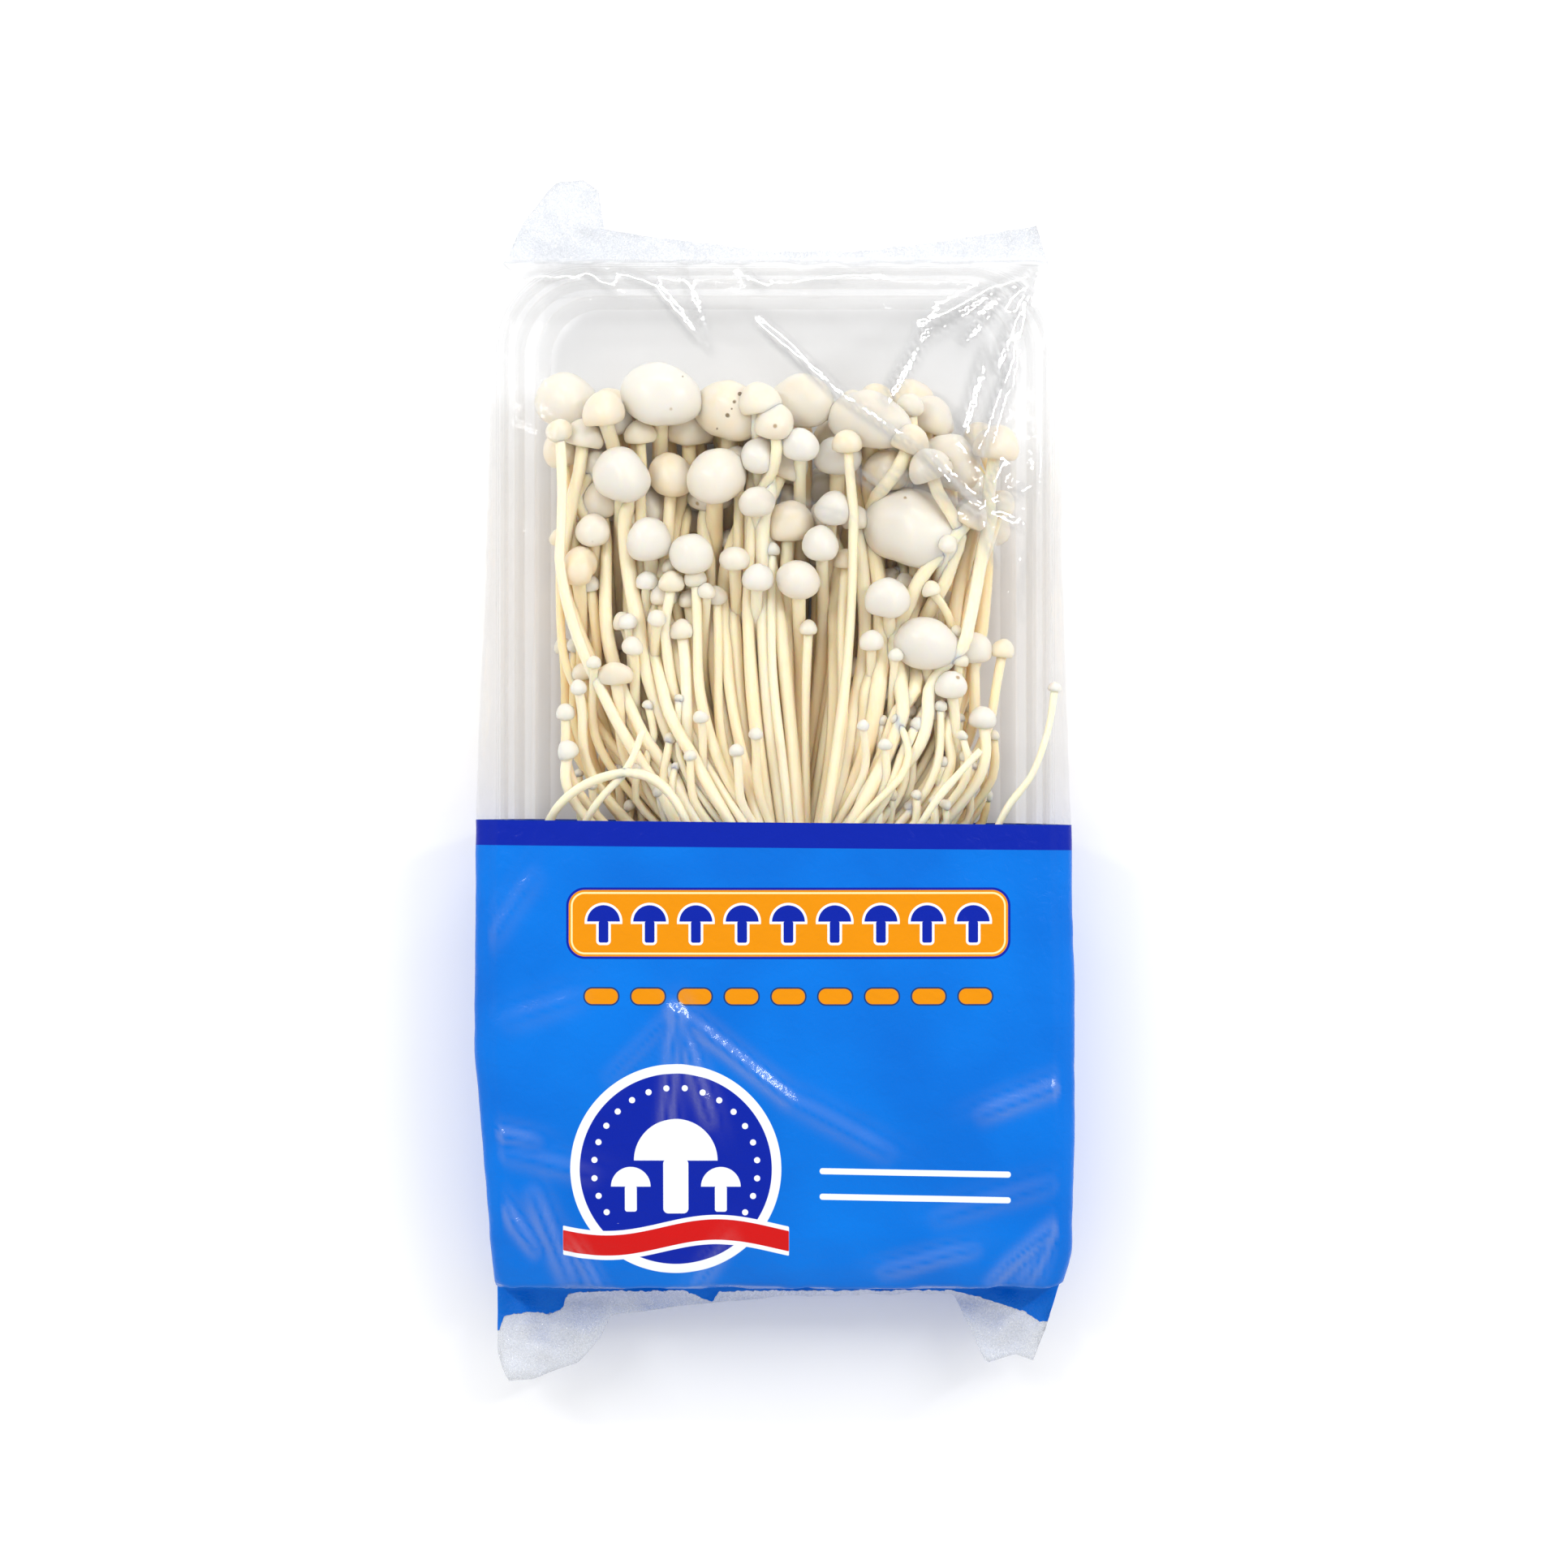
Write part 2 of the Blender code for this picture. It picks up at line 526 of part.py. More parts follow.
def make_mushrooms():
    """Every mushroom of the bunch, and the stray one over the rim."""
    stems, centres = settle()
    for number, (stem, centre, cap) in enumerate(zip(stems, centres, CAPS), start=1):
        tilt = CAP_TILT_DEGREES if cap[2] > SMALL_CAP else SMALL_CAP_TILT_DEGREES
        make_mushroom(f"mushroom_{number:02d}", stem, centre, cap[2], stem_radius(cap[2]), tilt)
    stray = np.array(STRAY_STEM)
    way = (stray[-1] - stray[-2]) / np.linalg.norm(stray[-1] - stray[-2])
    tip = stray[-1] + way * STRAY_CAP_REACH
    make_mushroom(
        "stray_mushroom", stray, tip, STRAY_CAP_DIAMETER, STRAY_RADIUS, STRAY_TILT_DEGREES)


def main():
    """Clear the scene and make every piece."""
    for leftover in list(bpy.data.objects):
        bpy.data.objects.remove(leftover)
    make_tray()
    make_film()
    make_root_base()
    make_mushrooms()


main()
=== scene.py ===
"""Looks of an enoki mushroom bunch in a clear tray and a printed film wrap.

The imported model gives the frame. Each piece here stands for one of its nodes: fine mushrooms,
the fused butt, the stepped tray and the creased film. Thin stems fill the bunch out.
"""

import bpy
import numpy as np
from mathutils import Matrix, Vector, noise


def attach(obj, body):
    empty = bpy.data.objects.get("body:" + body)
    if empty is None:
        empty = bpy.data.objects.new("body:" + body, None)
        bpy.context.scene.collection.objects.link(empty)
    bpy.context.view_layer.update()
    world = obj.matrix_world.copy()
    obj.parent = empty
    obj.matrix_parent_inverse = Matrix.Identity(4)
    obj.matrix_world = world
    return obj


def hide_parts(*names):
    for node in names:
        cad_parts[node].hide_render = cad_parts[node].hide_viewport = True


bl_info = {
    "name": "Enoki Tray Pack",
    "version": (1, 0, 0),
    "blender": (4, 5, 0),
    "location": "View3D > Sidebar > Enoki",
    "description": "Builds an enoki mushroom bunch in a clear tray and a printed film wrap",
    "category": "Object",
}

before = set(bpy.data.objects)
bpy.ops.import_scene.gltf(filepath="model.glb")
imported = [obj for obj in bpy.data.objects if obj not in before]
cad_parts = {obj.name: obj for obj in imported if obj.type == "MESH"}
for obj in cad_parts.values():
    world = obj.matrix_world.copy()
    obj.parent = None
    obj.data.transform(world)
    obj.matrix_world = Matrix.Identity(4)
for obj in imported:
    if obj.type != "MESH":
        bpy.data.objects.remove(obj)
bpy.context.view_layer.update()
MM = 0.001

# Tray, as in the solids: floor, and the lines of its wall as (outset, height above the floor).
TRAY_MIDDLE_Y = 1.0
TRAY_LIFT = 0.6
TRAY_WALL = 0.5
FLOOR_HALF_WIDTH = 41.5
FLOOR_HALF_LENGTH = 87.0
FLOOR_CORNER = 9.5
END_WALL_SHARE = 0.65
WALL_LINES = (
    (0.0, 0.0), (1.2, 1.0), (3.0, 7.9), (5.4, 8.6), (6.4, 14.9), (8.0, 15.6), (8.6, 20.9),
    (9.2, 21.4), (9.3, 20.2),
)

# Film wrap, as in the solids: its outline from above, its crown, and its section.
FLAT_HALF_WIDTH = 42.3
FILM_SOLID_WALL = 0.25
FIN_HEIGHT = 11.0
LEFT_EDGE = ((-94, -51.6), (-80, -52.5), (-50, -55.1), (-8, -55.1), (39, -53.0), (83, -52.1), (96, -50.5))
RIGHT_EDGE = ((-94, 52.8), (-87, 54.6), (-50, 55.0), (-8, 54.3), (39, 52.6), (90, 53.0), (96, 51.0))
FOOT_FIN_EDGE = (
    (-51.5, -106.0), (-49.5, -111.2), (-45.0, -111.0), (-36.5, -108.0), (-32.5, -103.5),
    (-30.5, -99.4), (-23.0, -98.3), (0.0, -96.1), (33.0, -95.4), (36.0, -101.5), (39.0, -107.9),
    (44.5, -106.5), (48.0, -107.9), (51.0, -99.1),
)
HEAD_FIN_EDGE = (
    (-48.8, 99.3), (-46.6, 103.4), (-42.5, 108.9), (-40.4, 110.8), (-35.5, 111.1), (-32.6, 109.0),
    (-31.8, 102.2), (-25.0, 101.0), (0.0, 98.1), (20.0, 98.6), (35.0, 100.6), (48.4, 102.5),
)
CROWN = (
    (-94, 23.4), (-84, 25.5), (-60, 28.0), (-8, 29.5), (30, 31.0), (62, 31.0), (78, 28.5),
    (88, 26.0), (96, 24.0),
)
SHOULDER_MAX = 26.0
SIDE_LINES = ((0.0, 0.0), (0.28, 0.9), (0.50, 5.5), (0.70, 12.0), (0.88, 18.0), (0.98, 21.0), (1.0, 22.2))
END_STEPS = ((-8.0, -9.0, 0.0), (-2.5, -6.0, 0.0), (1.1, -3.5, 0.06), (1.8, 0.0, 0.55), (2.0, 1.4, 1.0))

# Between these places along the pack the film is plain, without ink or gathers.
PLAIN_FILM_Y = (-5.0, 93.0)

# Creases of the film's upper face, as (x, y) to (x, y), width and height. A fan of tight folds
# runs out of the head's right corner, and a gathered one lies on the printed half.
CREASES = (
    (47, 94, 27, 82, 1.2, 0.55), (27, 82, 20, 69, 0.9, 0.40), (47, 94, 34, 80, 0.8, 0.35),
    (47, 93, 40, 75, 0.9, 0.50), (46, 92, 42, 72, 0.7, 0.40), (42, 74, 37, 59, 0.8, 0.40),
    (38, 78, 34, 64, 0.8, 0.30), (37, 59, 33, 66, 0.7, 0.30), (-3, 83, 11, 70, 0.7, 0.40),
    (11, 70, 27, 59, 0.7, 0.35), (27, 59, 37, 49, 0.7, 0.45), (37, 49, 41, 57, 0.8, 0.40),
    (37, 49, 46, 53, 0.6, 0.25), (37, 49, 27, 55, 0.8, 0.35), (37, 49, 20, 56, 0.7, 0.25),
    (37, 49, 40, 40, 0.8, 0.35), (37, 49, 45, 46, 0.6, 0.20), (-18, 97, -12, 78, 0.6, 0.30),
    (-30, 94, -22, 90, 0.8, 0.30), (-22, 90, -14, 80, 0.7, 0.30), (-45, 92, -33, 93, 0.8, 0.25),
    (-36, 95, -30, 90, 1.0, 0.30), (5, 92, 20, 93, 0.8, 0.25), (-8, 95, -2, 90, 0.7, 0.25),
    (14, 56, 20, 52, 0.7, 0.25), (-2, 52, 14, 47, 0.6, 0.18), (45, 30, 49, 60, 0.9, 0.15),
    (-18, -42, -20, -66, 1.1, 0.55), (-18, -42, -12, -62, 1.2, 0.60), (-18, -42, 2, -58, 1.2, 0.60),
    (2, -58, 20, -68, 1.6, 0.30), (-18, -42, -30, -54, 1.2, 0.18), (-54, -64, -44, -66, 1.2, 0.50),
    (38, -61, 54, -55, 1.4, 0.50), (-50, -68, -34, -72, 1.6, 0.30), (-51, -76, -44, -86, 1.2, 0.50),
    (-44, -76, -38, -92, 1.4, 0.55), (-38, -84, -33, -93, 1.0, 0.40), (50, -82, 40, -92, 1.2, 0.55),
    (53, -78, 46, -92, 1.1, 0.45), (20, -90, 36, -86, 1.2, 0.35), (-14, -93, -8, -84, 1.2, 0.35),
    (-48, -44, -36, -40, 1.8, 0.20), (30, -80, 50, -74, 1.6, 0.25), (-52, -30, -44, -18, 1.6, 0.20),
)

# Mushrooms: each cap's place across and along the pack, its diameter, and how far its top lies
# below the film. The same places as the solids'.
CAPS = (
    (-37.0, 70.5, 11.0, 5.0), (-19.5, 71.0, 13.0, 1.0), (-29.0, 67.0, 7.0, 6.5),
    (-28.0, 56.5, 11.0, 0.5), (-10.5, 56.0, 11.0, 0.5), (-9.5, 68.5, 12.5, 4.0),
    (-3.0, 59.5, 7.0, 3.0), (-2.0, 64.0, 10.0, 10.0), (-4.0, 51.0, 6.5, 1.5),
    (-33.5, 46.0, 6.5, 4.5), (-36.0, 39.5, 7.5, 3.0), (-23.0, 44.5, 9.0, 1.5),
    (-15.5, 41.5, 8.0, 0.5), (-7.5, 40.5, 5.5, 2.0), (-3.0, 37.0, 6.0, 1.0),
    (17.5, 66.5, 12.0, 2.0), (4.0, 70.0, 11.0, 5.0), (4.5, 61.5, 7.0, 1.0),
    (11.5, 60.0, 8.5, 6.5), (32.0, 59.0, 11.0, 4.0), (10.5, 50.0, 7.0, 3.0),
    (8.0, 43.5, 7.0, 1.5), (4.5, 37.0, 8.0, 0.5), (26.0, 47.0, 16.0, 1.0),
    (20.5, 33.5, 8.0, 0.5), (28.0, 25.5, 11.0, 0.5), (36.0, 24.5, 6.5, 4.5),
    (17.5, 25.5, 4.5, 3.0), (22.0, 22.8, 2.8, 2.5), (24.3, 17.6, 5.2, 9.5),
    (32.0, 17.5, 6.0, 2.0), (30.5, 12.5, 3.4, 5.5), (38.0, 11.5, 5.0, 4.0),
    (20.0, 6.5, 2.6, 1.0), (16.0, 10.0, 2.4, 1.0), (24.0, 13.0, 3.6, 8.0),
    (24.0, 7.5, 3.4, 6.0), (-23.5, 36.5, 4.0, 5.0), (-12.5, 34.5, 3.4, 4.0),
    (-27.0, 29.0, 3.4, 4.0), (-21.5, 29.5, 3.6, 2.0), (-26.0, 24.5, 4.0, 2.0),
    (-32.5, 21.5, 2.8, 2.0), (-29.5, 19.5, 5.5, 2.0), (-35.5, 17.0, 3.2, 3.5),
    (-38.0, 12.5, 3.6, 4.5), (-38.0, 5.5, 4.2, 2.0), (-13.5, 11.5, 2.8, 1.0),
    (-15.5, 4.5, 2.4, 1.0), (-7.0, 5.5, 2.8, 1.0), (-3.5, 8.5, 2.8, 0.5),
)
CAP_HEIGHT_SHARE = 0.74
CAP_UNDERSIDE = 0.12
CAP_MIDDLE = 0.45
STEM_THIN = 0.52
STEM_GROWTH = 0.07
STEM_THICK = 1.45
STEM_CLEARANCE = 0.3
CAP_TILT_DEGREES = 38.0
SMALL_CAP = 6.0
SMALL_CAP_TILT_DEGREES = 23.0
SIDE_LEAN = 0.8

# Root base, and the rows in which the stems stand on it, as in the solids.
BASE_HALF_WIDTH = 35.0
BASE_HALF_HEIGHT = 9.6
BASE_MIDDLE_Z = 12.0
BASE_BACK_Y = -83.0
BASE_FRONT_Y = -68.0
FOOT_ROWS = 5
FOOT_HALF_WIDTH = 27.0
FOOT_HALF_HEIGHT = 7.1

# The stems' run through their waist and their layers, and the pushes that keep them apart, as
# in the solids.
WAIST_Y = -12.0
WAIST_MIDDLE_X = 2.5
WAIST_SHARE = 0.42
WAIST_LEAN = 0.45
WAIST_EASE = 0.8
SPREAD_RATE = 1.45
LAYER_LOW_Z = 5.0
LAYER_HIGH_Z = 24.0
LAYER_START = 0.35
LAYER_END = 0.72
SWAY = 0.8
STATION_STEP = 4.0
SHORTEST_CAP_REACH = 2.04
SMALLEST_CAP_SLICE = 0.2
SETTLE_ROUNDS = 500
SETTLE_GAP = 0.55
SLANT_ALLOWANCE = 1.04
LARGEST_PUSH = 1.0
CAP_WEIGHT = 0.15
CAP_PULL_HOME = 0.02
CALM_SHARE = 0.8
EVENNESS = 0.3
LAST_EVENNESS = 0.02
SEED = 8

# The thin stems between them are pushed apart for fewer rounds and may touch. They are made in
# groups across the bunch.
FILLER_ROUNDS = 80
FILLER_GAP = 0.02
GROUP_COUNT = 8
BUNCH_HALF_WIDTH = 41.0

# Stems here fill part of the gap that the solids keep.
STEM_SWELL = 1.12

# Shares of a stem's radius: two waves along it, its swelling at the foot, and its grooves, which
# twist by this many radians from foot to cap.
STEM_SLOW_WAVE = 0.07
STEM_QUICK_WAVE = 0.05
STEM_FOOT_SWELL = 0.10
STEM_GROOVE = 0.07
STEM_TWIST = 2.0

# Shares of a cap's diameter: how far its crown leans off, its broad dents and its fine ones.
# The gills' share is of the radius under the cap.
CROWN_LEAN = 0.05
BROAD_DENT = 0.035
FINE_DENT = 0.008
GILL_DEPTH = 0.02
FINE_CAP_SIDES = 36
SMALL_CAP_SIDES = 16

# The stray mushroom over the tray's rim.
STRAY_STEM = (
    (37.0, -17.0, 24.2), (41.9, -6.0, 24.1), (46.9, 1.0, 24.0), (49.8, 9.0, 23.9), (50.9, 15.5, 23.9),
)
STRAY_RADIUS = 0.55
STRAY_CAP_DIAMETER = 2.4

# The print, from above: its head edge, the stripe under it, and its foot edge as (x, y) places
# within a range of y. Then the middle of each printed sign, and the rows' pitches.
PRINT_SLOPE = -0.009
PRINT_HEAD_Y = -7.8
STRIPE_WIDTH = 4.6
PRINT_SPAN = 112.0
PRINT_FACE_Z = 15.0
PRINT_FOOT_RANGE = (-110.0, -90.0)
PRINT_FOOT_EDGE = (
    (-56, -102.0), (-51, -102.0), (-50.5, -99.5), (-46, -98.6), (-42, -99.2), (-39.5, -98.2),
    (-38.8, -95.6), (-36, -95.0), (-17, -94.7), (-12.5, -96.8), (-11.5, -96.6), (-10.5, -94.9),
    (20, -94.7), (33, -94.7), (40, -96.6), (46, -98.5), (49, -100.5), (56, -100.0),
)
LOZENGE_PLACE = (2.4, -26.1)
SIGN_PITCH = 8.4
DASH_PLACE = (2.4, -39.4)
DASH_PITCH = 8.5
ROW_COUNT = 9
BADGE_PLACE = (-18.1, -70.9)
BADGE_RADIUS = 19.2
BADGE_DISC_RADIUS = 17.5
BADGE_DOT_RING = 14.9
BADGE_DOTS = 28.0
BARS_X = 25.5
BARS_Y = (-71.6, -76.3)

# The stage, in metres: the floor lies a hair under the pack, and the camera looks down on the
# pack's face from over this place.
FLOOR_DROP = -0.0002
EYE_X = 0.0016
EYE_Y = -0.0008
PACK_FACE_Z = 0.025

# Share of light that flat clear film scatters.
PLAIN_HAZE = 0.004

# The film's upper face is a grid with this step. Its ends are gathered, and it waves, ripples
# and crumples by these heights.
FILM_GRID_STEP = 0.85
OUTLINE_FOOT_Y = -94.0
OUTLINE_HEAD_Y = 96.0
SHOULDER_TUCK = 3.2
SHOULDER_ROUND = 2.6
FIN_HALF_GAP = 0.35
FIN_TIP_CLOSES = 0.22
FOLD_SLOPE = 0.25
TOP_WAVE, TOP_RIPPLE = 0.22, 0.05
GATHER_FOOT_Y, GATHER_HEAD_Y, GATHER_LENGTH = -94.5, 96.5, 6.0
GATHER_WAVE, GATHER_RIPPLE, GATHER_LIFT = 3.2, 1.6, 1.2
SIDE_WAVE, SIDE_RIPPLE, SIDE_TUCK = 0.25, 0.12, 0.15
END_MIDDLE_Y, END_REACH, END_LENGTH = 1.5, 84.0, 6.0
END_WAVE, END_RIPPLE = 1.1, 0.3

# What sets single caps apart: width and depth of the outline, roll in degrees, lobes, and how
# far the flesh has turned tan. Keys are the mushrooms' numbers.
CHARACTER = {
    1: (1.0, 1.1, 10, 0.06, 0.1), 2: (1.1, 0.95, -15, 0.05, 0.1), 4: (0.98, 1.0, 20, 0.08, 0.0),
    6: (0.95, 1.05, 35, 0.10, 0.6), 8: (1.0, 0.95, 0, 0.05, 0.35), 11: (0.9, 1.05, 0, 0.10, 0.6),
    12: (1.0, 0.95, 10, 0.08, 0.1), 16: (1.38, 0.85, -12, 0.05, 0.0), 17: (1.05, 1.0, 0, 0.06, 0.15),
    20: (0.82, 1.3, 28, 0.06, 0.15), 24: (1.25, 0.98, -10, 0.09, 0.0), 26: (1.08, 0.92, 0, 0.05, 0.0),
    27: (1.0, 1.0, 0, 0.05, 0.2), 30: (1.2, 0.8, 0, 0.06, 0.3), 44: (1.2, 0.75, 0, 0.14, 0.4),
}
PLAIN_CHARACTER = (1.0, 1.0, 0, 0.05, 0.0)
# Crumbs of growing medium on the caps, as (x, y, radius).
CRUMBS = (
    (-16.9, 73.6, 0.55), (-6.4, 70.5, 0.6), (-7.5, 68.8, 0.8), (-8.7, 66.4, 0.7), (-7.9, 67.6, 0.5),
    (-10.6, 64.2, 0.5), (31.9, 58.2, 0.4),
)
# Single stems over the others, as (points, radius): one arches at the left, one crosses at the
# right.
LOOSE_STEMS = (
    (((-43.5, -17.0, 19.0), (-41.0, -7.0, 24.6), (-35.5, -1.4, 26.3), (-28.0, 1.2, 27.2),
      (-22.0, 0.0, 27.6), (-17.5, -5.0, 27.4), (-14.0, -14.0, 25.0)), 0.75),
    (((20.0, -20.0, 24.0), (28.0, -5.7, 26.9), (33.0, 0.6, 26.6), (37.4, 5.3, 26.0)), 0.6),
    (((-39.0, -16.0, 22.0), (-33.0, -5.0, 25.6), (-27.0, 2.0, 26.6), (-24.0, 9.0, 26.8)), 0.6),
)
LOOSE_STEP = 1.5
LOOSE_SIDES = 10
LOOSE_TONE = 0.2


def linear(hex_colour):
    """An sRGB hex colour as linear red, green, blue and alpha."""
    parts = [((hex_colour >> shift) & 255) / 255.0 for shift in (16, 8, 0)]
    return tuple(c / 12.92 if c <= 0.04045 else ((c + 0.055) / 1.055) ** 2.4 for c in parts) + (1.0,)


def along(pairs, at):
    """The value at a place on a line given by (place, value) pairs."""
    return np.interp(at, [place for place, _ in pairs], [value for _, value in pairs])


# ---------------------------------------------------------------- settings

class EnokiBunchSettings(bpy.types.PropertyGroup):
    """Sizes and colours of the mushrooms."""

    filler_stems: bpy.props.IntProperty(
        name="Thin stems", description="How many thin stems fill the bunch out", default=230, min=0, max=400)
    cap_colour: bpy.props.FloatVectorProperty(
        name="Caps", description="Colour of fresh cap skin", subtype="COLOR", size=4,
        min=0.0, max=1.0, default=linear(0xE2E0D9))
    # This tan is both older skin and painted shade: caps take it towards the rim and underside.
    cap_tan_and_shade: bpy.props.FloatVectorProperty(
        name="Aged caps", description="Colour of older cap skin and spots", subtype="COLOR", size=4,
        min=0.0, max=1.0, default=linear(0xF2D59A))
    stem_colour: bpy.props.FloatVectorProperty(
        name="Stems", description="Colour of stems near the film", subtype="COLOR", size=4,
        min=0.0, max=1.0, default=linear(0xFFF0D8))
    # Painted shade: stems take this golden colour low in the tray, besides their own golden tone and streaks.
    stem_golden_and_shade: bpy.props.FloatVectorProperty(
        name="Deep stems", description="Colour of stems low in the tray", subtype="COLOR", size=4,
        min=0.0, max=1.0, default=linear(0xFCD48E))


class FilmSettings(bpy.types.PropertyGroup):
    """Sizes and colours of the film wrap."""

    wall: bpy.props.FloatProperty(
        name="Film", description="Thickness of the film", unit="LENGTH",
        default=0.0001, min=0.00002, max=0.0005)
    crease_scale: bpy.props.FloatProperty(
        name="Creases", description="Height of the creases against the drawn ones",
        default=1.0, min=0.0, max=3.0)
    blue: bpy.props.FloatVectorProperty(
        name="Blue", description="Ink of the printed half", subtype="COLOR", size=4,
        min=0.0, max=1.0, default=linear(0x0066CA))
    navy: bpy.props.FloatVectorProperty(
        name="Navy", description="Ink of the stripe, the outline and the badge", subtype="COLOR", size=4,
        min=0.0, max=1.0, default=linear(0x03209C))
    orange: bpy.props.FloatVectorProperty(
        name="Orange", description="Ink of the lozenge and the dashes", subtype="COLOR", size=4,
        min=0.0, max=1.0, default=linear(0xDE8A04))


class StudioSettings(bpy.types.PropertyGroup):
    """The camera and the lights."""

    lens: bpy.props.FloatProperty(
        name="Lens", description="Focal length in millimetres", default=100.0, min=35.0, max=200.0)
    view_width: bpy.props.FloatProperty(
        name="View", description="Width that the camera sees at the pack", unit="LENGTH", default=0.286)
    sky: bpy.props.FloatProperty(
        name="Surround", description="Strength of the white surround", default=0.97, min=0.0, max=3.0)
    overhead: bpy.props.FloatProperty(
        name="Overhead", description="Share of the surround's light that comes from overhead",
        subtype="FACTOR", default=0.65, min=0.0, max=1.0)
    softbox: bpy.props.FloatProperty(
        name="Softboxes", description="Power of each softbox", unit="POWER", default=1.2, min=0.0, max=50.0)


# ---------------------------------------------------------------- materials

def node(tree, kind, inputs=(), **settings):
    """Add a node with its settings, and set or link its inputs from (socket, value) pairs."""
    made = tree.nodes.new(kind)
    for name, value in settings.items():
        setattr(made, name, value)
    for socket, value in inputs:
        if isinstance(value, bpy.types.NodeSocket):
            tree.links.new(value, made.inputs[socket])
        else:
            made.inputs[socket].default_value = value
    return made


def new_material(name):
    """An empty node material and its tree."""
    made = bpy.data.materials.new(name)
    made.use_nodes = True
    made.node_tree.nodes.clear()
    return made, made.node_tree


def finish_material(tree, shader):
    """Link the last shader to the output."""
    node(tree, "ShaderNodeOutputMaterial", [("Surface", shader.outputs[0])])


def cap_flesh(settings):
    """Enoki cap, grown: a moist satin skin with light under it, tan patches, painted tan shade towards the
    rim and underside, and a few specks.

    The soft glow comes from subsurface, the damp look from a thin coat.
    """
    made, tree = new_material("enoki_cap_moist_skin")
    place = node(tree, "ShaderNodeTexCoord").outputs["Object"]
    tone = node(tree, "ShaderNodeAttribute", attribute_name="tone").outputs["Fac"]
    rim = node(tree, "ShaderNodeAttribute", attribute_name="rim").outputs["Fac"]
    # Patches about 3 mm across, specks about 0.3 mm across and far apart.
    patch = node(tree, "ShaderNodeTexNoise", [("Vector", place), ("Scale", 330.0), ("Detail", 3.0)])
    aged_and_shaded = node(tree, "ShaderNodeMath", [(0, patch.outputs["Fac"]), (1, tone)], operation="MULTIPLY")
    # Painted shade: the caps turn tan towards the rim and underside, by the rim share, besides aged patches.
    aged_and_shaded = node(tree, "ShaderNodeMath", [(0, rim), (1, 0.30), (2, aged_and_shaded.outputs[0])], operation="MULTIPLY_ADD")
    colour = node(tree, "ShaderNodeMix", [
        ("Factor", aged_and_shaded.outputs[0]), (6, settings.cap_colour), (7, settings.cap_tan_and_shade)], data_type="RGBA")
    grain = node(tree, "ShaderNodeTexVoronoi", [("Vector", place), ("Scale", 420.0)])
    lone = node(tree, "ShaderNodeSeparateColor", [(0, grain.outputs["Color"])])
    chance = node(tree, "ShaderNodeMath", [(0, lone.outputs[0]), (1, 0.965)], operation="GREATER_THAN")
    dot = node(tree, "ShaderNodeMapRange", [
        (0, grain.outputs["Distance"]), (1, 0.10), (2, 0.22), (3, 0.75), (4, 0.0)])
    speck = node(tree, "ShaderNodeMath", [(0, chance.outputs[0]), (1, dot.outputs[0])], operation="MULTIPLY")
    colour = node(tree, "ShaderNodeMix", [
        ("Factor", speck.outputs[0]), (6, colour.outputs[2]), (7, linear(0x9A7A3C))], data_type="RGBA")
    # A few crumbs of growing medium, each at its own place.
    for crumb_x, crumb_y, size in CRUMBS:
        away = node(tree, "ShaderNodeVectorMath", [
            (0, place), (1, (crumb_x * MM, crumb_y * MM, 0.0))], operation="SUBTRACT")
        flat = node(tree, "ShaderNodeVectorMath", [
            (0, away.outputs[0]), (1, (1.0, 1.0, 0.0))], operation="MULTIPLY")
        reach = node(tree, "ShaderNodeVectorMath", [(0, flat.outputs[0])], operation="LENGTH")
        ragged = node(tree, "ShaderNodeMath", [
            (0, grain.outputs["Distance"]), (1, 0.9 * size * MM), (2, reach.outputs["Value"])],
            operation="MULTIPLY_ADD")
        share = node(tree, "ShaderNodeMapRange", [
            (0, ragged.outputs[0]), (1, 0.8 * size * MM), (2, 1.1 * size * MM), (3, 0.85), (4, 0.0)])
        colour = node(tree, "ShaderNodeMix", [
            ("Factor", share.outputs[0]), (6, colour.outputs[2]), (7, linear(0x6B5220))], data_type="RGBA")
    fine = node(tree, "ShaderNodeTexNoise", [("Vector", place), ("Scale", 1400.0), ("Detail", 4.0)])
    bump = node(tree, "ShaderNodeBump", [
        ("Strength", 0.18), ("Distance", 0.0002), ("Height", fine.outputs["Fac"])])
    shader = node(tree, "ShaderNodeBsdfPrincipled", [
        ("Base Color", colour.outputs[2]), ("Roughness", 0.38), ("IOR", 1.4),
        ("Subsurface Weight", 0.6), ("Subsurface Radius", (1.0, 0.7, 0.35)), ("Subsurface Scale", 0.0025),
        ("Coat Weight", 0.25), ("Coat Roughness", 0.2), ("Normal", bump.outputs[0])])
    finish_material(tree, shader)
    return made


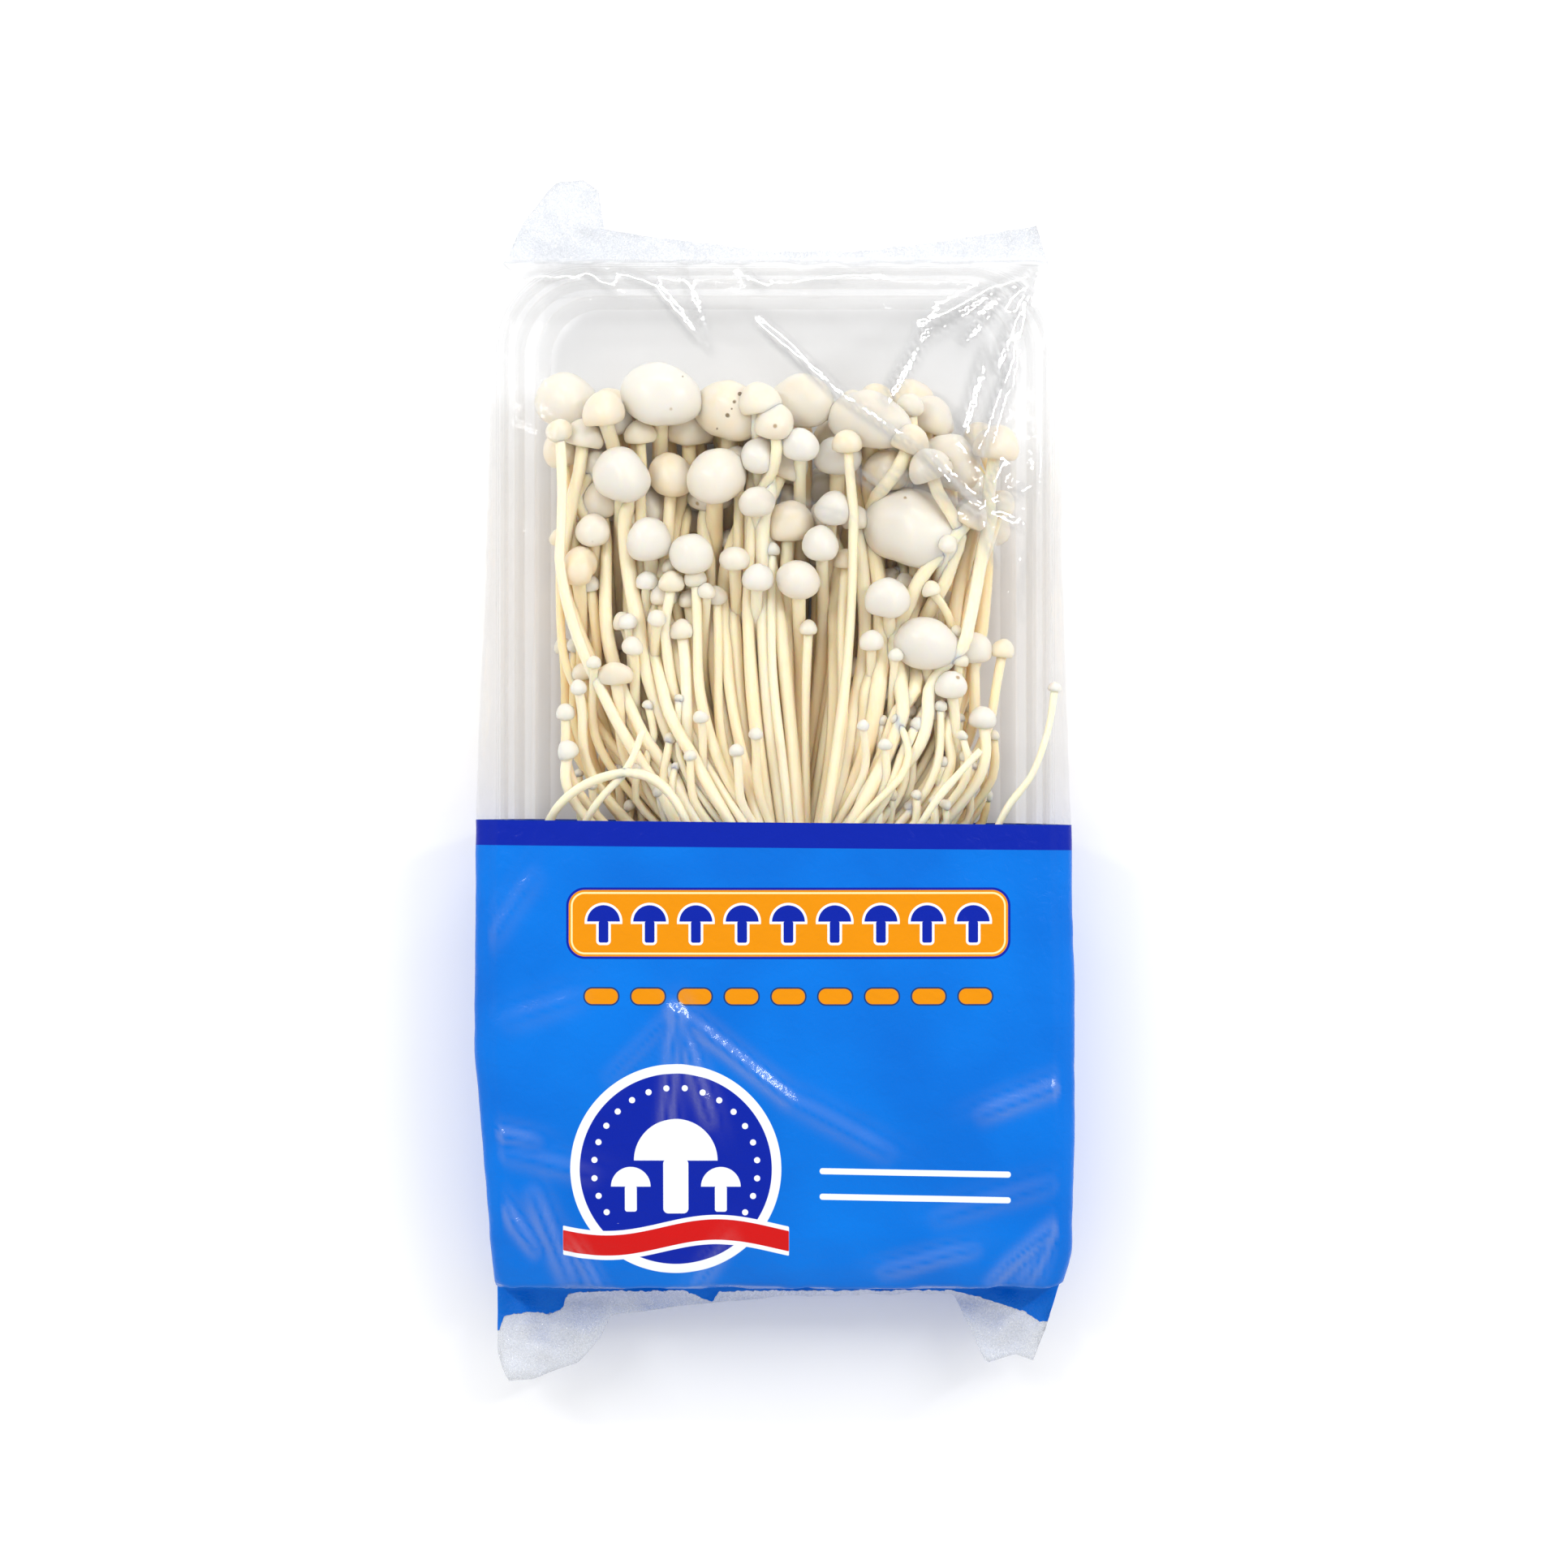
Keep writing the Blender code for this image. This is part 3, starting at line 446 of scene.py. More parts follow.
def stem_flesh(settings):
    """Enoki stem, grown: pale fibrous flesh with fine streaks along it, and painted shade that turns it
    warmer and golden low in the tray.
    """
    made, tree = new_material("enoki_stem_fibrous_flesh")
    place = node(tree, "ShaderNodeTexCoord").outputs["Object"]
    tone = node(tree, "ShaderNodeAttribute", attribute_name="tone").outputs["Fac"]
    # Streaks 0.4 mm wide and 20 mm long.
    drawn = node(tree, "ShaderNodeMapping", [("Vector", place), ("Scale", (2500.0, 50.0, 2500.0))])
    streak = node(tree, "ShaderNodeTexNoise", [("Vector", drawn.outputs[0]), ("Scale", 1.0), ("Detail", 3.0)])
    height = node(tree, "ShaderNodeSeparateXYZ", [(0, place)]).outputs["Z"]
    # Painted shade: below 24 mm the stems turn towards the golden colour, more the lower they lie.
    low = node(tree, "ShaderNodeMapRange", [(0, height), (1, 0.024), (2, 0.006), (3, 0.0), (4, 0.7)])
    # Each stem's own tone and its streaks add to the painted shade here.
    deep = node(tree, "ShaderNodeMath", [(0, tone), (1, 0.45), (2, low.outputs[0])], operation="MULTIPLY_ADD")
    deep = node(tree, "ShaderNodeMath", [
        (0, streak.outputs["Fac"]), (1, 0.35), (2, deep.outputs[0])], operation="MULTIPLY_ADD")
    share = node(tree, "ShaderNodeMath", [
        (0, deep.outputs[0]), (1, 0.15)], operation="SUBTRACT", use_clamp=True)
    colour = node(tree, "ShaderNodeMix", [
        ("Factor", share.outputs[0]), (6, settings.stem_colour), (7, settings.stem_golden_and_shade)], data_type="RGBA")
    bump = node(tree, "ShaderNodeBump", [
        ("Strength", 0.3), ("Distance", 0.0002), ("Height", streak.outputs["Fac"])])
    shader = node(tree, "ShaderNodeBsdfPrincipled", [
        ("Base Color", colour.outputs[2]), ("Roughness", 0.42), ("IOR", 1.4),
        ("Subsurface Weight", 0.7), ("Subsurface Radius", (1.0, 0.6, 0.22)), ("Subsurface Scale", 0.0022),
        ("Coat Weight", 0.15), ("Coat Roughness", 0.25), ("Normal", bump.outputs[0])])
    finish_material(tree, shader)
    return made


def butt_flesh():
    """Fused stem feet, grown and cut: tan and rough, with darker crumbs of growing medium."""
    made, tree = new_material("enoki_butt_cut_feet")
    place = node(tree, "ShaderNodeTexCoord").outputs["Object"]
    lump = node(tree, "ShaderNodeTexNoise", [("Vector", place), ("Scale", 220.0), ("Detail", 6.0)])
    ramp = node(tree, "ShaderNodeMix", [
        ("Factor", lump.outputs["Fac"]), (6, linear(0xE6D3A8)), (7, linear(0x9C7440))], data_type="RGBA")
    bump = node(tree, "ShaderNodeBump", [
        ("Strength", 0.6), ("Distance", 0.0005), ("Height", lump.outputs["Fac"])])
    shader = node(tree, "ShaderNodeBsdfPrincipled", [
        ("Base Color", ramp.outputs[2]), ("Roughness", 0.75), ("IOR", 1.4),
        ("Subsurface Weight", 0.15), ("Subsurface Scale", 0.0015), ("Normal", bump.outputs[0])])
    finish_material(tree, shader)
    return made


def clear_pet():
    """PET sheet, thermoformed: clear and glossy, a faint grey at each wall, soft draw lines."""
    made, tree = new_material("clear_pet_thermoformed")
    place = node(tree, "ShaderNodeTexCoord").outputs["Object"]
    # Draw lines 1 mm apart along the walls, and a faint waviness about 8 mm long.
    drawn = node(tree, "ShaderNodeMapping", [("Vector", place), ("Scale", (900.0, 60.0, 900.0))])
    wave = node(tree, "ShaderNodeTexNoise", [("Vector", drawn.outputs[0]), ("Scale", 1.0), ("Detail", 2.0)])
    bump = node(tree, "ShaderNodeBump", [
        ("Strength", 0.25), ("Distance", 0.0004), ("Height", wave.outputs["Fac"])])
    clear = node(tree, "ShaderNodeBsdfTransparent", [("Color", (0.994, 0.995, 0.996, 1.0))])
    gloss = node(tree, "ShaderNodeBsdfGlossy", [("Roughness", 0.12), ("Normal", bump.outputs[0])])
    milk = node(tree, "ShaderNodeBsdfDiffuse", [("Color", (0.84, 0.85, 0.86, 1.0))])
    edge = node(tree, "ShaderNodeFresnel", [("IOR", 1.57), ("Normal", bump.outputs[0])])
    sheen = node(tree, "ShaderNodeMapRange", [
        (0, edge.outputs[0]), (1, 0.045), (2, 0.14), (3, 0.004), (4, 0.10)])
    # The steep walls are seen through more of the sheet, so they look milkier.
    haze = node(tree, "ShaderNodeMapRange", [
        (0, edge.outputs[0]), (1, 0.06), (2, 0.5), (3, 0.006), (4, 0.11)])
    body = node(tree, "ShaderNodeMixShader", [
        (0, haze.outputs[0]), (1, clear.outputs[0]), (2, milk.outputs[0])])
    shader = node(tree, "ShaderNodeMixShader", [
        (0, sheen.outputs[0]), (1, body.outputs[0]), (2, gloss.outputs[0])])
    finish_material(tree, shader)
    return made


def clear_sheet(tree, normal, haze):
    """Clear film: nearly all passes, with a sharp gloss, more of it on folds, and a milky haze."""
    fold = node(tree, "ShaderNodeAttribute", attribute_name="fold").outputs["Fac"]
    clear = node(tree, "ShaderNodeBsdfTransparent", [("Color", (0.998, 0.998, 0.999, 1.0))])
    milk = node(tree, "ShaderNodeBsdfDiffuse", [("Color", (0.75, 0.775, 0.82, 1.0))])
    body = node(tree, "ShaderNodeMixShader", [(0, haze), (1, clear.outputs[0]), (2, milk.outputs[0])])
    gloss = node(tree, "ShaderNodeBsdfGlossy", [("Roughness", 0.07), ("Normal", normal)])
    edge = node(tree, "ShaderNodeFresnel", [("IOR", 1.5), ("Normal", normal)])
    sheen = node(tree, "ShaderNodeMapRange", [
        (0, edge.outputs[0]), (1, 0.036), (2, 0.13), (3, 0.0), (4, 0.10)])
    sheen = node(tree, "ShaderNodeMath", [
        (0, fold), (1, 0.38), (2, sheen.outputs[0])], operation="MULTIPLY_ADD")
    return node(tree, "ShaderNodeMixShader", [
        (0, sheen.outputs[0]), (1, body.outputs[0]), (2, gloss.outputs[0])])


def clear_film():
    """BOPP film, blown thin: clear and very glossy, with slack waves about 3 mm apart."""
    made, tree = new_material("bopp_film_clear")
    place = node(tree, "ShaderNodeTexCoord").outputs["Object"]
    slack = node(tree, "ShaderNodeTexNoise", [("Vector", place), ("Scale", 330.0), ("Detail", 2.0)])
    bump = node(tree, "ShaderNodeBump", [
        ("Strength", 0.3), ("Distance", 0.0005), ("Height", slack.outputs["Fac"])])
    finish_material(tree, clear_sheet(tree, bump.outputs[0], PLAIN_HAZE))
    return made


def printed_film(settings):
    """BOPP film, blown thin and printed: clear and very glossy, with solid ink over the feet.

    The ink is a blue field under a navy stripe, an orange lozenge with a row of plain mushroom
    signs, a row of orange dashes, a navy badge with a mushroom sign, and two white bars.
    """
    made, tree = new_material("bopp_film_clear_and_printed")
    place = node(tree, "ShaderNodeTexCoord").outputs["Object"]
    in_mm = node(tree, "ShaderNodeVectorMath", [(0, place), ("Scale", 1000.0)], operation="SCALE")
    axes = node(tree, "ShaderNodeSeparateXYZ", [(0, in_mm.outputs[0])])
    x, y, z = axes.outputs[0], axes.outputs[1], axes.outputs[2]

    def maths(operation, *values):
        return node(tree, "ShaderNodeMath", list(enumerate(values)), operation=operation).outputs[0]

    def soft(distance, blur=0.05):
        """1 inside a shape whose signed distance is negative, with a crisp edge."""
        return node(tree, "ShaderNodeMapRange", [
            (0, distance), (1, -blur), (2, blur), (3, 1.0), (4, 0.0)]).outputs[0]

    def pill(across, up, half_width, half_height, corner):
        """Signed distance to a rectangle with round corners."""
        side = maths("MAXIMUM", maths("SUBTRACT", maths("ABSOLUTE", across), half_width - corner), 0.0)
        top = maths("MAXIMUM", maths("SUBTRACT", maths("ABSOLUTE", up), half_height - corner), 0.0)
        reach = maths("SQRT", maths("MULTIPLY_ADD", side, side, maths("MULTIPLY", top, top)))
        return maths("SUBTRACT", reach, corner)

    def disc(across, up, radius):
        """Signed distance to a disc."""
        reach = maths("SQRT", maths("MULTIPLY_ADD", across, across, maths("MULTIPLY", up, up)))
        return maths("SUBTRACT", reach, radius)

    def mushroom_sign(across, up, size):
        """Signed distance to a plain sign: half a disc for the cap over a short stem."""
        dome = disc(across, up, size)
        cap = maths("MAXIMUM", dome, maths("MULTIPLY", up, -1.0))
        stem = pill(across, maths("ADD", up, 0.62 * size), 0.30 * size, 0.66 * size, 0.12 * size)
        return maths("MINIMUM", cap, stem)

    def over(under, share, colour):
        """Lay a colour over another by a share."""
        return node(tree, "ShaderNodeMix", [
            ("Factor", share), (6, under), (7, colour)], data_type="RGBA").outputs[2]

    def stamp(under, distance, colour, within=None):
        """Lay a shape's colour over the ink, on the upper face only."""
        return over(under, maths("MULTIPLY", soft(distance), front if within is None else within), colour)

    def cells(across, pitch, count):
        """Places within each cell of a row, and 1 inside the row."""
        place_in_cell = maths("FRACT", maths("MULTIPLY_ADD", across, 1.0 / pitch, 0.5))
        in_row = maths("LESS_THAN", maths("ABSOLUTE", across), pitch * count / 2.0)
        return maths("MULTIPLY_ADD", place_in_cell, pitch, -pitch / 2.0), maths("MULTIPLY", in_row, front)

    def shifted(value, by):
        return maths("SUBTRACT", value, by)

    # The printed field, all round the wrap: a top edge that runs down slightly to the right,
    # and a lower one that steps with the crumpled corners.
    head_edge = maths("MULTIPLY_ADD", x, PRINT_SLOPE, PRINT_HEAD_Y)
    stripe_edge = maths("SUBTRACT", head_edge, STRIPE_WIDTH)
    curve = node(tree, "ShaderNodeFloatCurve", [
        ("Value", maths("MULTIPLY_ADD", x, 1.0 / PRINT_SPAN, 0.5))])
    points = curve.mapping.curves[0].points
    low, high = PRINT_FOOT_RANGE
    for index, (place_x, edge_y) in enumerate(PRINT_FOOT_EDGE):
        spot = (place_x / PRINT_SPAN + 0.5, (edge_y - low) / (high - low))
        if index == 0:
            points[0].location = spot
        elif index == len(PRINT_FOOT_EDGE) - 1:
            points[-1].location = spot
        else:
            points.new(*spot)
    for point in points:
        point.handle_type = "VECTOR"
    curve.mapping.update()
    ragged = node(tree, "ShaderNodeTexNoise", [
        ("Vector", in_mm.outputs[0]), ("Scale", 0.9), ("Detail", 4.0)])
    foot_edge = maths("MULTIPLY_ADD", curve.outputs[0], high - low, low)
    foot_edge = maths("MULTIPLY_ADD", maths("SUBTRACT", ragged.outputs["Fac"], 0.5), 1.2, foot_edge)
    below_top = soft(maths("SUBTRACT", y, head_edge), 0.04)
    above_foot = soft(maths("SUBTRACT", foot_edge, y), 0.04)
    printed = maths("MULTIPLY", below_top, above_foot)
    in_stripe = maths("MULTIPLY", below_top, soft(maths("SUBTRACT", stripe_edge, y)))
    front = maths("GREATER_THAN", z, PRINT_FACE_Z)

    # Painted uneven light on the ink: clouds of a lighter blue, about 20 mm across.
    cloud = node(tree, "ShaderNodeTexNoise", [
        ("Vector", in_mm.outputs[0]), ("Scale", 0.045), ("Detail", 2.0)])
    shade = node(tree, "ShaderNodeMapRange", [
        (0, cloud.outputs["Fac"]), (1, 0.35), (2, 0.7), (3, 0.0), (4, 0.5)])
    ink = over(settings.blue, shade.outputs[0], linear(0x007CE4))
    ink = over(ink, in_stripe, settings.navy)

    # Orange lozenge: navy outline, thin pale border, and a row of mushroom signs.
    across, up = shifted(x, LOZENGE_PLACE[0]), shifted(y, LOZENGE_PLACE[1])
    lozenge = pill(across, up, 40.4, 6.5, 3.4)
    ink = stamp(ink, lozenge, settings.navy)
    ink = stamp(ink, maths("ADD", lozenge, 0.45), settings.orange)
    pale = maths("SUBTRACT", maths("ABSOLUTE", maths("ADD", lozenge, 1.0)), 0.16)
    ink = stamp(ink, pale, linear(0xFBE3A6))
    cell, row = cells(across, SIGN_PITCH, ROW_COUNT)
    sign = mushroom_sign(cell, maths("SUBTRACT", up, 0.3), 3.0)
    for grow, colour in ((0.42, linear(0xF4F4F8)), (0.0, settings.navy)):
        ink = stamp(ink, maths("SUBTRACT", sign, grow), colour, row)

    # A row of orange dashes with a thin dark outline.
    across, up = shifted(x, DASH_PLACE[0]), shifted(y, DASH_PLACE[1])
    cell, row = cells(across, DASH_PITCH, ROW_COUNT)
    dash = pill(cell, up, 3.3, 1.7, 1.65)
    for grow, colour in ((0.0, linear(0x1A3A6A)), (-0.3, settings.orange)):
        ink = stamp(ink, maths("SUBTRACT", dash, grow), colour, row)

    # Badge: a white ring round a navy disc, a ring of dots, and three mushroom signs.
    across, up = shifted(x, BADGE_PLACE[0]), shifted(y, BADGE_PLACE[1])
    white = linear(0xEEF2FA)
    ink = stamp(ink, disc(across, up, BADGE_RADIUS), white)
    ink = stamp(ink, disc(across, up, BADGE_DISC_RADIUS), settings.navy)
    turn = maths("MULTIPLY", maths("ARCTAN2", up, across), BADGE_DOTS / (2.0 * np.pi))
    spacing = 2.0 * np.pi * BADGE_DOT_RING / BADGE_DOTS
    beside = maths("MULTIPLY", maths("SUBTRACT", maths("FRACT", turn), 0.5), spacing)
    dots = soft(disc(beside, disc(across, up, BADGE_DOT_RING), 0.55))
    over_band = maths("GREATER_THAN", up, -10.0)
    ink = over(ink, maths("MULTIPLY", maths("MULTIPLY", dots, over_band), front), white)
    for side, rise, size in ((0.0, 1.6, 7.6), (-8.2, -3.2, 3.6), (8.2, -3.2, 3.6)):
        ink = stamp(ink, mushroom_sign(shifted(across, side), shifted(up, rise), size), white)

    # A plain red band with white edges waves across the badge's foot.
    wave = maths("MULTIPLY", maths("SINE", maths("MULTIPLY_ADD", across, 0.155, 0.4)), 1.5)
    rise = maths("SUBTRACT", maths("ADD", up, 12.6), wave)
    for half_height, colour in ((2.7, white), (1.9, linear(0xC81414))):
        ink = stamp(ink, pill(across, rise, 20.6, half_height, 0.2), colour)

    # Two plain white bars.
    for row_y in BARS_Y:
        tilted = maths("MULTIPLY_ADD", shifted(x, BARS_X), 0.02, shifted(y, row_y))
        ink = stamp(ink, pill(shifted(x, BARS_X), tilted, 17.4, 0.55, 0.5), linear(0xE8F2FF))

    # Wrinkles about 2 mm apart, and crumples under 1 mm apart in the gathered ends.
    gathered = node(tree, "ShaderNodeMapRange", [
        (0, maths("ABSOLUTE", y)), (1, 94.5), (2, 97.5), (3, 0.0), (4, 1.0)]).outputs[0]
    micro = node(tree, "ShaderNodeTexNoise", [
        ("Vector", in_mm.outputs[0]), ("Scale", 0.45), ("Detail", 5.0), ("Distortion", 0.6)])
    crumple = node(tree, "ShaderNodeTexNoise", [
        ("Vector", in_mm.outputs[0]), ("Scale", 0.8), ("Detail", 6.0), ("Distortion", 2.5)])
    coarse = maths("MULTIPLY", crumple.outputs["Fac"], gathered)
    relief = maths("MULTIPLY_ADD", coarse, 2.5, micro.outputs["Fac"])
    bump = node(tree, "ShaderNodeBump", [("Strength", 0.35), ("Distance", 0.0005), ("Height", relief)])
    normal = bump.outputs[0]

    # A milky haze in the gathered ends.
    milky = node(tree, "ShaderNodeMapRange", [
        (0, crumple.outputs["Fac"]), (1, 0.3), (2, 0.7), (3, 0.15), (4, 0.42)]).outputs[0]
    haze = maths("MULTIPLY_ADD", milky, gathered, PLAIN_HAZE)
    film = clear_sheet(tree, normal, haze)
    solid = node(tree, "ShaderNodeBsdfPrincipled", [
        ("Base Color", ink), ("Roughness", 0.22), ("IOR", 1.5),
        ("Specular IOR Level", 0.15), ("Normal", normal)])
    # Pale streaks where the printed film is folded.
    fold = node(tree, "ShaderNodeAttribute", attribute_name="fold").outputs["Fac"]
    glaze = node(tree, "ShaderNodeBsdfGlossy", [("Roughness", 0.16), ("Normal", normal)])
    solid = node(tree, "ShaderNodeMixShader", [
        (0, maths("MULTIPLY", fold, 0.13)), (1, solid.outputs[0]), (2, glaze.outputs[0])])
    shader = node(tree, "ShaderNodeMixShader", [(0, printed), (1, film.outputs[0]), (2, solid.outputs[0])])
    finish_material(tree, shader)
    return made


def white_sweep():
    """Painted board: an even matt white."""
    made, tree = new_material("matt_white_board")
    shader = node(tree, "ShaderNodeBsdfPrincipled", [
        ("Base Color", linear(0xFAFAFA)), ("Roughness", 0.9), ("Specular IOR Level", 0.1)])
    finish_material(tree, shader)
    return made


# ---------------------------------------------------------------- meshes

class Builder:
    """Gathers points, faces, materials and point values for one mesh."""

    def __init__(self):
        self.points, self.faces, self.slots = [], [], []
        self.values = {"tone": [], "rim": []}
        self.count = 0

    def rings(self, rings, slots, tone=0.0, rims=None):
        """Skin closed rings of points, closing both ends on a middle point."""
        sides = len(rings[0])
        first = self.count
        rims = [0.0] * len(rings) if rims is None else rims
        for ring, rim in zip(rings, rims):
            self.points.append(np.asarray(ring))
            self.values["rim"] += [rim] * sides
        self.points.append(np.array([np.mean(rings[0], axis=0), np.mean(rings[-1], axis=0)]))
        self.values["rim"] += [rims[0], rims[-1]]
        added = len(rings) * sides + 2
        self.values["tone"] += [tone] * added
        self.count += added
        around = np.arange(sides)
        after = (around + 1) % sides
        for low in range(len(rings) - 1):
            a, b = first + low * sides, first + (low + 1) * sides
            self.faces += np.stack([a + around, a + after, b + after, b + around], axis=1).tolist()
            self.slots += [slots[low]] * sides
        start, end = first + added - 2, first + added - 1
        last = first + (len(rings) - 1) * sides
        self.faces += np.stack([first + after, first + around, np.full(sides, start)], axis=1).tolist()
        self.faces += np.stack([last + around, last + after, np.full(sides, end)], axis=1).tolist()
        self.slots += [slots[0]] * sides + [slots[-1]] * sides

    def make(self, name, materials):
        """The smooth mesh object."""
        mesh = bpy.data.meshes.new(name)
        mesh.from_pydata((np.concatenate(self.points) * MM).tolist(), [], self.faces)
        for material in materials:
            mesh.materials.append(material)
        mesh.polygons.foreach_set("material_index", self.slots)
        for label, numbers in self.values.items():
            mesh.attributes.new(label, "FLOAT", "POINT").data.foreach_set("value", numbers)
        mesh.shade_smooth()
        mesh.update()
        made = bpy.data.objects.new(name, mesh)
        bpy.context.scene.collection.objects.link(made)
        return made


def shoulder_height(y):
    """Height of the film where it turns down over the tray's rim."""
    return np.minimum(along(CROWN, y) - 0.8, SHOULDER_MAX)


def film_top(x, y):
    """Height of the film's outer face over the pack."""
    edge = np.where(np.asarray(x) < 0.0, -along(LEFT_EDGE, y), along(RIGHT_EDGE, y))
    rise = np.clip(1.0 - (np.asarray(x) / edge) ** 2, 0.0, 1.0)
    return shoulder_height(y) + (along(CROWN, y) - shoulder_height(y)) * rise


def inner_half_width(z):
    """Half width between the tray's walls at a height."""
    outsets = [outset for outset, _ in WALL_LINES[:-2]]
    heights = [TRAY_LIFT + height for _, height in WALL_LINES[:-2]]
    return FLOOR_HALF_WIDTH - TRAY_WALL + np.interp(z, heights, outsets)


def stem_radius(cap_diameter):
    """Stems grow thicker with their caps, up to a limit."""
    return min(STEM_THIN + STEM_GROWTH * cap_diameter, STEM_THICK)


# ---------------------------------------------------------------- laying the bunch out

def stations():
    """Lines across the pack on which the stems are kept apart."""
    caps = np.array(CAPS)
    last = caps[:, 1].max() + caps[:, 2].max() / 2.0
    return np.arange(BASE_FRONT_Y + STEM_CLEARANCE, last, STATION_STEP)


def feet(caps):
    """Where the stems stand on the root base, and the layer that each lies in.

    The farthest caps' stems stand lowest. In a row they keep the order of their caps.
    """
    count = len(caps)
    rank = np.empty(count)
    rank[np.argsort(-caps[:, 1])] = np.arange(count)
    row = np.minimum((rank * FOOT_ROWS / count).astype(int), FOOT_ROWS - 1)
    x = np.empty(count)
    for level in range(FOOT_ROWS):
        members = np.flatnonzero(row == level)
        members = members[np.argsort(caps[members, 0])]
        x[members] = np.linspace(-1.0, 1.0, len(members)) * (FOOT_HALF_WIDTH + level % 2)
    z = BASE_MIDDLE_Z + (2.0 * row / (FOOT_ROWS - 1.0) - 1.0) * FOOT_HALF_HEIGHT
    layer_z = LAYER_LOW_Z + (LAYER_HIGH_Z - LAYER_LOW_Z) * rank / count
    return x, z, layer_z


def run_across(caps, foot_x, sway, lines):
    """Each stem's place across the pack on every line: foot, waist, and out to the cap."""
    cap_x, cap_y = caps[:, 0], caps[:, 1]
    most = WAIST_LEAN * (cap_y - WAIST_Y)
    waist_x = cap_x - np.clip(cap_x - WAIST_MIDDLE_X - WAIST_SHARE * cap_x, -most, most)
    below = np.clip((lines - lines[0]) / (WAIST_Y - lines[0]), 0.0, 1.0)
    above = np.clip((lines[None, :] - WAIST_Y) / (cap_y - WAIST_Y)[:, None], 0.0, 1.0)
    spread = np.sin(np.pi / 2.0 * np.minimum(SPREAD_RATE * above, 1.0))
    x = foot_x[:, None] + (waist_x - foot_x)[:, None] * below[None, :] ** WAIST_EASE
    x = x + (cap_x - waist_x)[:, None] * spread
    return x + sway[:, None] * np.sin(2.0 * np.pi * above)


def run_up(caps, cap_z, foot_z, layer_z, lines):
    """Each stem's height on every line: foot, layer, and up to the cap."""
    share = (lines[None, :] - lines[0]) / (caps[:, 1] - lines[0])[:, None]
    z = foot_z[:, None] + (layer_z - foot_z)[:, None] * np.clip(share / LAYER_START, 0.0, 1.0)
    rise = np.clip((share - LAYER_END) / (1.0 - LAYER_END), 0.0, 1.0) ** 2
    return z + (cap_z[:, None] - z) * rise


def sizes(caps, x, lines):
    """Where each mushroom is cap and where it is stem, and its radius on every line."""
    radius = caps[:, 2] / 2.0
    thin = np.array([stem_radius(diameter) for diameter in caps[:, 2]])
    reach = lines[None, :] - caps[:, 1][:, None]
    in_cap = np.abs(reach) <= np.maximum(radius, SHORTEST_CAP_REACH)[:, None]
    in_stem = (reach <= 0.0) & ~in_cap
    slant = np.sqrt(1.0 + np.gradient(x, STATION_STEP, axis=1) ** 2) * SLANT_ALLOWANCE
    size = np.where(in_stem, thin[:, None] * slant, 0.0)
    globe = np.sqrt(np.maximum(radius[:, None] ** 2 - reach ** 2, SMALLEST_CAP_SLICE ** 2))
    return in_cap, in_stem, np.where(in_cap, globe, size)


def settle(caps, x, z, cap_z, foot, rounds, gap, fixed=None):
    """Lay stems and caps out between the tray's floor and the film, clear of each other.

    Each round pushes neighbours apart on every line, evens each stem out, and keeps it inside
    the pack. A cap moves as one, and the fixed stems don't move.
    """
    count = len(caps)
    lines = stations()
    in_cap, in_stem, size = sizes(caps, x, lines)
    present = size > 0.0
    x = np.where(in_cap, caps[:, 0][:, None], x)
    z = np.where(in_cap, cap_z[:, None], z)
    start_x, start_z = x, z
    weight = np.where(in_cap, CAP_WEIGHT, 1.0)
    all_size, all_weight = size, weight
    if fixed is not None:
        all_size = np.concatenate([size, fixed[2]])
        all_weight = np.concatenate([weight, np.zeros_like(fixed[2])])
    both = present[:, None, :] & (all_size > 0.0)[None, :, :]
    both[np.arange(count), np.arange(count)] = False
    yields = weight[:, None, :] / (weight[:, None, :] + all_weight[None, :, :])

    for turn in range(rounds):
        all_x = x if fixed is None else np.concatenate([x, fixed[0]])
        all_z = z if fixed is None else np.concatenate([z, fixed[1]])
        gap_x = x[:, None, :] - all_x[None, :, :]
        gap_z = z[:, None, :] - all_z[None, :, :]
        distance = np.sqrt(gap_x ** 2 + gap_z ** 2) + 1e-6
        overlap = size[:, None, :] + all_size[None, :, :] + gap - distance
        push = np.where(both & (overlap > 0.0), overlap, 0.0) * yields / distance
        x = x + np.clip((push * gap_x).sum(axis=1), -LARGEST_PUSH, LARGEST_PUSH)
        z = z + np.clip((push * gap_z).sum(axis=1), -LARGEST_PUSH, LARGEST_PUSH)
        calm = max(1.0 - turn / (CALM_SHARE * rounds), 0.0)
        for values, start in ((x, start_x), (z, start_z)):
            moved = values - start
            bend = moved[:, :-2] + moved[:, 2:] - 2.0 * moved[:, 1:-1]
            free = in_stem[:, 1:-1] & present[:, 2:]
            values[:, 1:-1] += np.where(free, (EVENNESS * calm + LAST_EVENNESS) * bend, 0.0)
        floor_z = TRAY_LIFT + TRAY_WALL + STEM_CLEARANCE + size
        top_z = film_top(x, lines[None, :]) - FILM_SOLID_WALL - STEM_CLEARANCE - size
        z = np.clip(z, floor_z, top_z)
        side = inner_half_width(z) - STEM_CLEARANCE - size
        x = np.clip(x, -side, side)
        home = CAP_PULL_HOME if calm > 0.0 else 0.0
        for one in range(count):
            held = in_cap[one]
            x[one, held] = x[one, held].mean() * (1.0 - home) + caps[one, 0] * home
            z[one, held] = z[one, held].mean() * (1.0 - home) + cap_z[one] * home
        x[:, 0], z[:, 0] = foot
    return x, z, size, in_cap, in_stem


